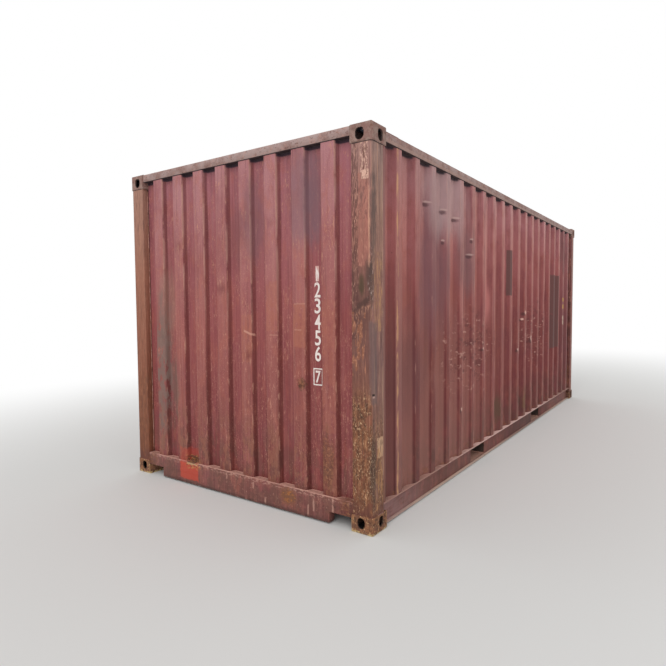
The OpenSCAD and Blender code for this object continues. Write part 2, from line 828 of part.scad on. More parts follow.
// Foot on the door face with a saddle round the bar
module bar_bracket(y, z) {
    saddle = bar_radius + running_gap + bracket_wall;
    translate([0, y, z - bracket_height / 2]) difference() {
        linear_extrude(bracket_height) {
            translate([door_x, -bracket_width / 2]) square([bracket_wall, bracket_width]);
            translate([door_x, -saddle]) square([bar_standoff, 2 * saddle]);
            translate([bar_x, 0]) circle(saddle);
        }
        translate([bar_x, 0, -over]) cylinder(r = bar_radius + running_gap, h = bracket_height + 2 * over);
    }
}

module bar_brackets(right) {
    color(zinc_steel) mirrored([0, 1, 0], !right)
        for (y = [bar_inner, bar_outer]) for (z = bracket_levels) bar_bracket(y, z);
}

// Hub on the bar with a flat lever; the inner bar's lever points outward, the outer bar's inward
module door_handle(y, z, facing) {
    lever_x = bar_x - handle_thickness / 2;
    translate([0, y, z]) difference() {
        union() {
            translate([bar_x, 0, -hub_height / 2]) cylinder(r = bar_radius + hub_wall, h = hub_height);
            mirrored([0, 1, 0], facing < 0) block(
                [lever_x, lever_x + handle_thickness], [0, handle_length],
                [-handle_height / 2, handle_height / 2]
            );
        }
        translate([bar_x, 0, -hub_height]) cylinder(r = bar_radius, h = 2 * hub_height);
    }
}

module door_handles() {
    color(zinc_steel) for (right = [false, true]) mirrored([0, 1, 0], !right) {
        door_handle(bar_inner, handle_level - handle_step / 2, 1);
        door_handle(bar_outer, handle_level + handle_step / 2, -1);
    }
}

// Fork on the door face that holds the end of a lever
module handle_retainer(y, z) {
    clear = handle_height / 2 + running_gap;
    half = retainer_width / 2;
    lever_x = bar_x - handle_thickness / 2;
    translate([0, y, z]) difference() {
        block([door_x, lever_x + handle_thickness], [-half, half], [-clear - retainer_jaw, clear + retainer_jaw]);
        block([lever_x - running_gap, lever_x + handle_thickness + over], [-half - over, half + over],
            [-clear, clear]);
    }
}

module handle_retainers() {
    reach = handle_length - retainer_inset;
    color(zinc_steel) for (right = [false, true]) mirrored([0, 1, 0], !right) {
        handle_retainer(bar_inner + reach, handle_level - handle_step / 2);
        handle_retainer(bar_outer - reach, handle_level + handle_step / 2);
    }
}

// Hook on the sill or header that a cam's nose turns behind
module cam_keeper(y, z) {
    nose_front = bar_radius / 2 + running_gap;
    start = bar_radius + cam_wall + running_gap;
    stop = cam_reach + running_gap;
    translate([bar_x, y, z]) {
        block([-bar_standoff, -nose_front], [start, stop + cam_wall], [0, cam_height]);
        block([-bar_standoff, nose_front + cam_wall], [stop, stop + cam_wall], [0, cam_height]);
        block([nose_front, nose_front + cam_wall], [start, stop + cam_wall], [0, cam_height]);
    }
}

module cam_keepers() {
    color(zinc_steel) for (right = [false, true]) mirrored([0, 1, 0], !right)
        for (y = [bar_inner, bar_outer]) for (z = [bar_bottom, bar_top - cam_height]) cam_keeper(y, z);
}

casting(false, false, false);  // casting_front_left_bottom
casting(false, true, false);  // casting_front_right_bottom
casting(true, false, false);  // casting_rear_left_bottom
casting(true, true, false);  // casting_rear_right_bottom
casting(false, false, true);  // casting_front_left_top
casting(false, true, true);  // casting_front_right_top
casting(true, false, true);  // casting_rear_left_top
casting(true, true, true);  // casting_rear_right_top
front_post(false);  // post_front_left
front_post(true);  // post_front_right
rear_post(false);  // post_rear_left
rear_post(true);  // post_rear_right
top_rail(false);  // top_rail_left
top_rail(true);  // top_rail_right
front_header();
door_header();
bottom_rail(false);  // bottom_rail_left
bottom_rail(true);  // bottom_rail_right
front_sill();
door_sill();
cross_members();
fork_pocket(false);  // fork_pocket_front
fork_pocket(true);  // fork_pocket_rear
floor_boards();
side_wall(false);  // side_wall_left
side_wall(true);  // side_wall_right
front_wall();
roof_panel();
header_plates();
roof_corner_plates();
door_frame(false);  // door_frame_left
door_frame(true);  // door_frame_right
door_panel(false);  // door_panel_left
door_panel(true);  // door_panel_right
door_gasket(false);  // door_gasket_left
door_gasket(true);  // door_gasket_right
door_hinges(false);  // door_hinges_left
door_hinges(true);  // door_hinges_right
locking_bars(false);  // locking_bars_left
locking_bars(true);  // locking_bars_right
bar_brackets(false);  // bar_brackets_left
bar_brackets(true);  // bar_brackets_right
door_handles();
handle_retainers();
cam_keepers();
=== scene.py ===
"""Looks of a worn twenty-foot freight container with corrugated steel walls and double doors."""
import math

import bmesh
import bpy
import numpy as np
from bpy.props import FloatProperty, FloatVectorProperty, IntProperty, PointerProperty, StringProperty
from bpy.types import Operator, Panel, PropertyGroup
from mathutils import Matrix, Vector


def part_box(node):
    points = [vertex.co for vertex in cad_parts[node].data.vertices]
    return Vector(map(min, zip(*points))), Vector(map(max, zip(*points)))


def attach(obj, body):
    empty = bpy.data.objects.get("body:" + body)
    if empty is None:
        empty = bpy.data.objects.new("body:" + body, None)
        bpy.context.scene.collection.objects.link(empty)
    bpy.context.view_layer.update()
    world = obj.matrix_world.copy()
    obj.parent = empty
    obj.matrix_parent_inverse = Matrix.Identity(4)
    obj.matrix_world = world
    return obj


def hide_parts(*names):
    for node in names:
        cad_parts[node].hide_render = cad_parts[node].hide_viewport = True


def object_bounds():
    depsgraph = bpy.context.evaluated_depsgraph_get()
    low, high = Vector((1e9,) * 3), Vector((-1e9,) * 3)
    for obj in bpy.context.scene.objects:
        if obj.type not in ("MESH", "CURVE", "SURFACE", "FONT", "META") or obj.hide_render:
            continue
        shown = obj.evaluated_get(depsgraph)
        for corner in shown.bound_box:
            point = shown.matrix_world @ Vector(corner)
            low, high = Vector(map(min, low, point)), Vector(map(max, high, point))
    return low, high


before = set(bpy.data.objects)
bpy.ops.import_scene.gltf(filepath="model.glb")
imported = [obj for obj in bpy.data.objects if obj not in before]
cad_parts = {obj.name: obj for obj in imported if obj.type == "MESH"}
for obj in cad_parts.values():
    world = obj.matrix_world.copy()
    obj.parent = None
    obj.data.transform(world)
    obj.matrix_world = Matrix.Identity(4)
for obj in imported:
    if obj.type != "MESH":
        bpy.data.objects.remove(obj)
CAD_BOX = [list(corner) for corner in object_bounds()]

bl_info = {
    "name": "Worn freight container",
    "version": (1, 0, 0),
    "blender": (4, 5, 0),
    "location": "3D View > Sidebar > Container",
    "description": "Builds the walls, welds, marks and weathered finishes of a steel freight container",
    "category": "Object",
}

SIDES = ("left", "right")
ENDS = ("front", "rear")
LEVELS = ("bottom", "top")


# Sizes and colours that a user may change


def srgb(red, green, blue):
    """Linear colour from a screen colour with channels of 0 to 255"""
    share = np.array([red, green, blue]) / 255
    linear = np.where(share <= 0.04045, share / 12.92, ((share + 0.055) / 1.055) ** 2.4)
    return tuple(float(channel) for channel in linear)


def number(name, description, default, unit="LENGTH"):
    return FloatProperty(name=name, description=description, default=default, unit=unit, precision=4)


def paint(name, description, *colour):
    return FloatVectorProperty(
        name=name, description=description, default=srgb(*colour), subtype="COLOR", min=0, max=1)


class SideWallSizes(PropertyGroup):
    """Ribs of the two long walls, and the sheet and welds of all the walls"""
    first_crest: number("First crest", "From the blind end to the middle of the first crest", 0.374)
    pitch: number("Pitch", "From crest to crest", 0.278)
    crest: number("Crest", "Width of a flat crest", 0.072)
    slope: number("Slope", "Width of a slope beside a crest", 0.068)
    depth: number("Depth", "From the crests back to the troughs", 0.036)
    strip: number("Strip", "Flat strip beside a front post, level with the crests", 0.036)
    bend: number("Bend", "Half the width over which a corner is rounded", 0.012)
    sheet: number("Sheet", "Thickness of the steel sheet", 0.002)
    bead: number("Bead", "Radius of a weld bead", 0.0035)


class FrontWallSizes(PropertyGroup):
    """Ribs of the blind end wall"""
    crests: IntProperty(name="Crests", description="Number of crests", default=8)
    pitch: number("Pitch", "From crest to crest", 0.250)
    crest: number("Crest", "Width of a flat crest", 0.110)
    slope: number("Slope", "Width of a slope beside a crest", 0.018)
    depth: number("Depth", "From the crests back to the troughs", 0.045)
    bend: number("Bend", "Half the width over which a corner is rounded", 0.008)
    wander: number("Wander", "How far a beaten crest edge strays sideways", 0.0025)


class RoofSizes(PropertyGroup):
    """Pans pressed up from the roof sheet"""
    pitch: number("Pitch", "Greatest distance from pan to pan", 0.209)
    end_margin: number("End margin", "From the container's end to the middle of the first pan", 0.420)
    crest: number("Crest", "Width of a pan's flat top", 0.091)
    slope: number("Slope", "Width of a pan's slope", 0.0135)
    bend: number("Bend", "Half the width over which a corner is rounded", 0.004)
    side_margin: number("Side margin", "Flat strip beside the pans", 0.118)


class DoorSizes(PropertyGroup):
    """Ribs of the two door panels"""
    crests: IntProperty(name="Crests", description="Number of crests across a door panel", default=5)
    crest: number("Crest", "Height of a flat crest", 0.210)
    slope: number("Slope", "Height of a slope beside a crest", 0.036)
    bend: number("Bend", "Half the width over which a corner is rounded", 0.008)


class PaintColours(PropertyGroup):
    """Colours of the paint, the marks and the door gear"""
    chalky: paint("Chalky paint", "Paint faded by the sun near the roof", 178, 123, 127)
    faded: paint("Faded paint", "Paint half way up the walls", 162, 95, 90)
    sheltered: paint("Sheltered paint", "Paint near the ground", 126, 67, 62)
    fresh: paint("Fresh paint", "Orange red paint of a later repair", 190, 70, 50)
    overpaint: paint("Overpaint", "Dull brown paint over old marks", 92, 62, 59)
    digits: paint("Digits", "White paint of the numbers", 243, 232, 226)
    galvanised: paint("Galvanised steel", "Dull zinc of the door gear", 150, 150, 148)


class MarkSizes(PropertyGroup):
    """The column of plain numbers on the blind end"""
    digits: StringProperty(name="Digits", description="Plain numbers, read downwards", default="123456")
    boxed_digit: StringProperty(name="Boxed digit", description="The number in the frame", default="7")
    column: number("Column", "Sideways place of the column", -0.757)
    first_height: number("First height", "Middle of the first digit above the ground", 1.680)
    spacing: number("Spacing", "From one digit down to the next", 0.1085)
    digit_height: number("Digit height", "Height of a digit", 0.103)
    digit_width: number("Digit width", "Width of a digit", 0.050)
    stroke: number("Stroke", "How much a digit's strokes are thickened, for a digit 1 m high", 0.014)
    frame_height: number("Frame height", "Middle of the frame above the ground", 0.981)
    frame_width: number("Frame width", "Outer width of the frame round the last digit", 0.080)
    frame_length: number("Frame length", "Outer length of the frame round the last digit", 0.117)
    frame_line: number("Frame line", "Width of the frame's painted line", 0.008)
    film: number("Film", "How far the paint stands proud of the sheet", 0.0012)


class StageSettings(PropertyGroup):
    """Camera, light and floor"""
    place: FloatVectorProperty(
        name="Place", description="Where the camera stands", default=(-5.83857, -2.90258, 1.46972),
        subtype="TRANSLATION", unit="LENGTH")
    yaw: number("Yaw", "Turn of the view from the long axis", math.radians(35.188), "ROTATION")
    pitch: number("Pitch", "Tilt of the view below level", math.radians(3.050), "ROTATION")
    roll: number("Roll", "Turn of the picture", math.radians(-0.4195), "ROTATION")
    focal_length: number("Focal length", "Millimetres on a sensor 36 mm wide", 28.596, "NONE")
    sky: number("Sky", "Strength of the even light from all round", 0.65, "NONE")
    sun: number("Key light", "Strength of the broad light from the front", 1.25, "NONE")
    spread: number("Spread", "Angle over which the key light comes", math.radians(50), "ROTATION")
    floor: paint("Floor", "Pale floor under the container", 226, 226, 224)


class ContainerSettings(PropertyGroup):
    """All the sizes and colours of the container"""
    side_wall: PointerProperty(type=SideWallSizes)
    front_wall: PointerProperty(type=FrontWallSizes)
    roof: PointerProperty(type=RoofSizes)
    door: PointerProperty(type=DoorSizes)
    colours: PointerProperty(type=PaintColours)
    marks: PointerProperty(type=MarkSizes)
    stage: PointerProperty(type=StageSettings)


def settings():
    return bpy.context.scene.container


# Meshes from formulas


def smooth(share):
    """Three shares squared less two shares cubed, which rises from 0 to 1 with level ends"""
    share = np.clip(share, 0, 1)
    return share * share * (3 - 2 * share)


def rounded_ramp(distance, start, run, bend):
    """0 before start and 1 past start + run: the mean of a straight ramp over a window of two bends"""
    def area(place):
        share = (place - start) / run
        return run * (0.5 * np.clip(share, 0, 1) ** 2 + np.maximum(share - 1, 0))
    return (area(distance + bend) - area(distance - bend)) / (2 * bend)


def ribs(along, first, pitch, count, crest, slope, bend):
    """0 on the crests and 1 in the troughs: the rounded ramp of the distance to the nearest crest's middle"""
    nearest = np.clip(np.round((along - first) / pitch), 0, count - 1)
    return rounded_ramp(np.abs(along - first - nearest * pitch), crest / 2, slope, bend)


def rib_stations(low, high, first, pitch, count, crest, slope, bend):
    """Places along a ribbed sheet: a few on each flat and five on each bend"""
    foot = crest / 2 + slope
    half = np.concatenate([
        np.linspace(0, crest / 2 - bend, 4)[:-1], np.linspace(crest / 2 - bend, crest / 2 + bend, 5),
        np.linspace(foot - bend, foot + bend, 5), [(foot + pitch / 2) / 2, pitch / 2]])
    places = first + pitch * np.arange(count)[:, None] + np.concatenate([-half[::-1], half])
    places = np.round(np.concatenate([[low, high], places.ravel()]), 5)
    places = np.unique(places[(places >= low) & (places <= high)])
    return places[np.concatenate([[True], np.diff(places) > 5e-4])]


def hills(across, along, size_across, size_along, seed):
    """Smooth random hills between -1 and 1: random heights on a lattice, joined by the smooth step"""
    reach = 4.0
    lattice = np.random.default_rng(seed).uniform(
        -1, 1, (int(2 * reach / size_across) + 2, int(2 * reach / size_along) + 2))
    column, row = (across + reach) / size_across, (along + reach) / size_along
    left, low = np.floor(column).astype(int), np.floor(row).astype(int)
    right_share, high_share = smooth(column - left), smooth(row - low)
    bottom = lattice[left, low] * (1 - right_share) + lattice[left + 1, low] * right_share
    top = lattice[left, low + 1] * (1 - right_share) + lattice[left + 1, low + 1] * right_share
    return bottom * (1 - high_share) + top * high_share


def dents(across, along, places):
    """Sum of round hollows, each its depth times e to the minus squared distance over squared radius"""
    total = np.zeros(np.broadcast(across, along).shape)
    for middle, height, radius, depth in places:
        total += depth * np.exp(-((across - middle) ** 2 + (along - height) ** 2) / radius ** 2)
    return total


def points_of(x, y, z):
    """Points from three arrays or numbers"""
    return np.stack(np.broadcast_arrays(x, y, z), axis=-1)


def grid_faces(rows, columns, wrapped=False):
    """Quads between neighbouring points of a grid that is stored row by row"""
    index = np.arange(rows * columns).reshape(rows, columns)
    if wrapped:
        index = np.concatenate([index, index[:, :1]], axis=1)
    return np.stack([index[:-1, :-1], index[:-1, 1:], index[1:, 1:], index[1:, :-1]], axis=-1).reshape(-1, 4)


def new_mesh(name, points, faces, rounded=True):
    mesh = bpy.data.meshes.new(name)
    mesh.from_pydata(points, [], faces)
    mesh.polygons.foreach_set("use_smooth", np.full(len(faces), rounded))
    return mesh


def sheet_mesh(name, points, outward_is_back=False):
    """Smooth mesh over a grid of points with rows x columns x 3 numbers"""
    faces = grid_faces(*points.shape[:2])
    return new_mesh(name, points.reshape(-1, 3), faces[:, ::-1] if outward_is_back else faces)


def tubes_mesh(name, paths, radius, sides=6):
    """Rounded beads along paths: rings of a circle across each path, thinned towards both ends as the root
    of the distance, with a cap at each end"""
    angles = np.linspace(0, 2 * math.pi, sides, endpoint=False)[None, :, None]
    points, faces = [], []
    for path in paths:
        ahead = np.gradient(path, axis=0)
        ahead /= np.linalg.norm(ahead, axis=1, keepdims=True)
        upright = abs(ahead[:, 2]).mean() > 0.7
        across = np.cross(ahead, (0.94, 0.31, 0.13) if upright else (0.13, 0.31, 0.94))
        across /= np.linalg.norm(across, axis=1, keepdims=True)
        up = np.cross(across, ahead)
        travelled = np.concatenate([[0], np.cumsum(np.linalg.norm(np.diff(path, axis=0), axis=1))])
        from_end = np.minimum(travelled, travelled[-1] - travelled)
        uneven = 1 + 0.16 * np.sin(travelled * 410) * np.sin(travelled * 37)
        thick = radius * np.sqrt(np.clip(from_end / 0.012, 0.04, 1)) * uneven
        ring = across[:, None] * np.cos(angles) + up[:, None] * np.sin(angles)
        start = sum(len(part) for part in points)
        points.append((path[:, None] + thick[:, None, None] * ring).reshape(-1, 3))
        faces += (grid_faces(len(path), sides, wrapped=True) + start).tolist()
        faces.append([start + side for side in range(sides)][::-1])
        faces.append([start + (len(path) - 1) * sides + side for side in range(sides)])
    mesh = new_mesh(name, np.concatenate(points), faces)
    cleaned(mesh, 1e-6)
    return mesh


def cleaned(mesh, merge, flat=None):
    """Merges close points, then joins faces that are flat to an angle or, without one, turns all outward"""
    build = bmesh.new()
    build.from_mesh(mesh)
    bmesh.ops.remove_doubles(build, verts=build.verts, dist=merge)
    if flat:
        bmesh.ops.dissolve_limit(
            build, angle_limit=flat, use_dissolve_boundaries=False, verts=build.verts, edges=build.edges)
    else:
        bmesh.ops.recalc_face_normals(build, faces=build.faces)
    build.to_mesh(mesh)
    build.free()


def dress(finish, *nodes):
    """Gives CAD nodes that keep their shape their finish"""
    for node in nodes:
        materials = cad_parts[node].data.materials
        materials.clear()
        materials.append(finish)


def add_piece(name, mesh, slot, finish, *nodes):
    """Adds a piece that rides on the container and stands for the CAD nodes named"""
    piece = bpy.data.objects.new(name, mesh)
    bpy.context.scene.collection.objects.link(piece)
    mesh.materials.clear()
    mesh.materials.append(finish)
    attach(piece, "root")
    if nodes:
        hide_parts(*nodes)
    return piece


def make_solid(piece, crease):
    """Turns what the piece's modifiers make into its mesh, with edges over the crease angle kept sharp"""
    mesh = bpy.data.meshes.new_from_object(piece.evaluated_get(bpy.context.evaluated_depsgraph_get()))
    piece.modifiers.clear()
    piece.data = mesh
    mesh.set_sharp_from_angle(angle=math.radians(crease))


def add_sheet(node, slot, finish, points, outward_is_back=False):
    """Adds a sheet over a grid of points in place of a CAD node, with its thickness on the inner side"""
    name = node + "_sheet"
    piece = add_piece(name, sheet_mesh(name, points, outward_is_back), slot, finish, node)
    wall = piece.modifiers.new("sheet", "SOLIDIFY")
    wall.thickness = settings().side_wall.sheet
    wall.offset = -1
    make_solid(piece, 40)


def softened(name, slot, finish, width):
    """Copy of a CAD node with its corners merged, its flat faces joined and its edges worn round"""
    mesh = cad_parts[name].data.copy()
    cleaned(mesh, 2e-5, math.radians(0.6))
    mesh.name = name + "_worn"
    mesh.polygons.foreach_set("use_smooth", np.ones(len(mesh.polygons), bool))
    piece = add_piece(name + "_worn", mesh, slot, finish, name)
    edges = piece.modifiers.new("edges", "BEVEL")
    edges.width = width
    edges.segments = 2
    edges.limit_method = "ANGLE"
    edges.angle_limit = math.radians(40)
    edges.miter_outer = "MITER_ARC"
    make_solid(piece, 32)


# Node trees


class Tree:
    """A node tree with short ways to add nodes and join them"""

    def __init__(self, tree):
        self.tree = tree

    @classmethod
    def emptied(cls, owner):
        """The tree of a material or a world, without the nodes that it starts with"""
        owner.use_nodes = True
        owner.node_tree.nodes.clear()
        return cls(owner.node_tree)

    def node(self, kind, **values):
        node = self.tree.nodes.new("ShaderNode" + kind)
        for name, value in values.items():
            setattr(node, name, value)
        return node

    def feed(self, socket, value):
        if isinstance(value, bpy.types.NodeSocket):
            self.tree.links.new(value, socket)
        elif socket.type == "RGBA" and len(value) == 3:
            socket.default_value = (*value, 1)
        else:
            socket.default_value = value

    def filled(self, node, *values):
        """Feeds a node's first sockets in order, and gives its outputs"""
        for socket, value in zip(node.inputs, values):
            self.feed(socket, value)
        return node.outputs

    def math(self, operation, *values):
        return self.filled(self.node("Math", operation=operation), *values)[0]

    def vector(self, operation, *values):
        """What the operation gives, which for a length is the node's second output"""
        return self.filled(self.node("VectorMath", operation=operation), *values)[operation == "LENGTH"]

    def split(self, vector):
        return self.filled(self.node("SeparateXYZ"), vector)

    def join(self, x, y, z):
        return self.filled(self.node("CombineXYZ"), x, y, z)[0]

    def noise(self, vector, detail, roughness):
        node = self.node("TexNoise", noise_dimensions="3D")
        self.feed(node.inputs["Vector"], vector)
        node.inputs["Scale"].default_value = 1
        node.inputs["Detail"].default_value = detail
        self.feed(node.inputs["Roughness"], roughness)
        return node.outputs[0]

    def step(self, value, low, high, start=0.0, end=1.0, kind="SMOOTHSTEP"):
        """Smooth step from start, where value is low, to end, where it is high"""
        return self.filled(self.node("MapRange", interpolation_type=kind), value, low, high, start, end)[0]

    def mix(self, factor, first, second, blend="MIX"):
        """Colours mixed by a factor; the sockets of a node that mixes colours are its first and 6 and 7"""
        node = self.node("Mix", data_type="RGBA", blend_type=blend)
        for index, value in ((0, factor), (6, first), (7, second)):
            self.feed(node.inputs[index], value)
        return node.outputs[2]

    def blend_values(self, factor, first, second):
        """Numbers mixed by a factor; the sockets of a node that mixes numbers are its first and 2 and 3"""
        node = self.node("Mix", data_type="FLOAT")
        for index, value in ((0, factor), (2, first), (3, second)):
            self.feed(node.inputs[index], value)
        return node.outputs[0]

    def ramp(self, value, stops):
        """Colour that changes with value through stops of (place from 0 to 1, colour)"""
        node = self.node("ValToRGB")
        while len(node.color_ramp.elements) < len(stops):
            node.color_ramp.elements.new(1)
        for element, (place, colour) in zip(node.color_ramp.elements, stops):
            element.position = place
            element.color = (*linear(colour), 1)
        return self.filled(node, value)[0]


def linear(colour):
    """A tuple is a screen colour, and becomes linear; a setting's colour and a socket stay as they are"""
    return srgb(*colour) if isinstance(colour, tuple) else colour


def cubed(size):
    """One size for all three ways, where a single number is given"""
    return size if isinstance(size, tuple) else (size, size, size)


def shader_group(name, outputs=("Mask",), **defaults):
    """Makes a shader node group, once, of a function that takes a tree and the group's inputs and returns its
    outputs. Every group has the input Vector. A tuple as default makes a vector, and a number a value"""
    def taken(build):
        def ask():
            group = bpy.data.node_groups.get(name)
            if group:
                return group
            group = bpy.data.node_groups.new(name, "ShaderNodeTree")
            for label, default in (("vector", (0, 0, 0)), *defaults.items()):
                kind = "NodeSocketVector" if isinstance(default, tuple) else "NodeSocketFloat"
                socket = group.interface.new_socket(label.capitalize(), in_out="INPUT", socket_type=kind)
                socket.default_value = default
            for label in outputs:
                kind = "NodeSocketColor" if label == "Color" else "NodeSocketFloat"
                group.interface.new_socket(label, in_out="OUTPUT", socket_type=kind)
            tree = Tree(group)
            results = build(tree, group.nodes.new("NodeGroupInput").outputs)
            tree.filled(group.nodes.new("NodeGroupOutput"), *results)
            return group
        return ask
    return taken


def uneven(tree, given, grain, amount, roughness=0.6):
    """Noise of a grain about 0, which roughens an edge by an amount"""
    noise = tree.noise(tree.vector("DIVIDE", given["Vector"], grain), 4.0, roughness)
    return tree.math("MULTIPLY", tree.math("SUBTRACT", noise, 0.5), amount)


def inside_box(tree, given):
    """How far a place lies inside the box from Low to High, along x, y and z"""
    return tree.split(tree.vector(
        "MINIMUM", tree.vector("SUBTRACT", given["Vector"], given["Low"]),
        tree.vector("SUBTRACT", given["High"], given["Vector"])))


@shader_group("Blotches", size=(0.1, 0.1, 0.1), shift=(0, 0, 0), threshold=0.55, softness=0.03)
def blotches_group(tree, given):
    """Soft-edged spots, flakes or streaks: noise stretched to a size and cut at a threshold"""
    scaled = tree.vector("ADD", tree.vector("DIVIDE", given["Vector"], given["Size"]), given["Shift"])
    low = tree.math("SUBTRACT", given["Threshold"], given["Softness"])
    high = tree.math("ADD", given["Threshold"], given["Softness"])
    return [tree.step(tree.noise(scaled, 7.0, 0.62), low, high)]


@shader_group("Ragged patch", low=(0, 0, 0), high=(1, 1, 1), grain=(0.03, 0.03, 0.03), ragged=0.04,
              softness=0.003)
def patch_group(tree, given):
    """Mask of a box with ragged edges: the least distance to its faces, roughened by noise"""
    x, y, z = inside_box(tree, given)
    least = tree.math("MINIMUM", tree.math("MINIMUM", x, y), z)
    rough = tree.math("ADD", least, uneven(tree, given, given["Grain"], given["Ragged"]))
    return [tree.step(rough, tree.math("MULTIPLY", given["Softness"], -1), given["Softness"])]


@shader_group("Edge wear", low=(0, 0, 0), high=(1, 1, 1), width=0.008)
def edge_wear_group(tree, given):
    """Worn edges of a box: 1 where the second least distance to its faces is small"""
    x, y, z = inside_box(tree, given)
    third = tree.math("MINIMUM", tree.math("MAXIMUM", x, y), z)
    second = tree.math("MAXIMUM", tree.math("MINIMUM", x, y), third)
    stray = uneven(tree, given, (0.02, 0.02, 0.02), tree.math("MULTIPLY", given["Width"], 3), 0.65)
    return [tree.step(tree.math("ADD", second, stray), 0.0, given["Width"], 1.0, 0.0)]


@shader_group("Smudge", middle=(0, 0, 0), radii=(1, 1, 1), grain=(0.05, 0.05, 0.2), ragged=0.8)
def smudge_group(tree, given):
    """Soft round mask with an uneven edge: the distance from the middle, in radii, roughened by noise"""
    offset = tree.vector("SUBTRACT", given["Vector"], given["Middle"])
    offset = tree.vector("DIVIDE", offset, given["Radii"])
    stray = uneven(tree, given, given["Grain"], given["Ragged"])
    return [tree.step(tree.math("ADD", tree.vector("LENGTH", offset), stray), 0.35, 1.0, 1.0, 0.0)]


@shader_group("Rust", ("Color", "Height"), size=(0.03, 0.03, 0.03))
def rust_group(tree, given):
    """Colour and height of rust: dark scale, brown and orange by fine noise"""
    noise = tree.noise(tree.vector("DIVIDE", given["Vector"], given["Size"]), 8.0, 0.72)
    return [tree.ramp(tree.step(noise, 0.32, 0.70), (
        (0.0, (74, 52, 42)), (0.30, (102, 68, 50)), (0.60, (132, 86, 60)), (0.85, (158, 108, 76)),
        (1.0, (190, 144, 106)))), noise]


END_SKIN = (-3.1, -2.9)        # along the container, about the blind end's face
BOTH_SIDES = (-2, 2)           # across the container, past both long sides
WALL_FADE = (0.2, 2.5)         # heights from which and up to which the walls' colour changes
POST_FADE = (0.2, 2.45)        # the same for the posts


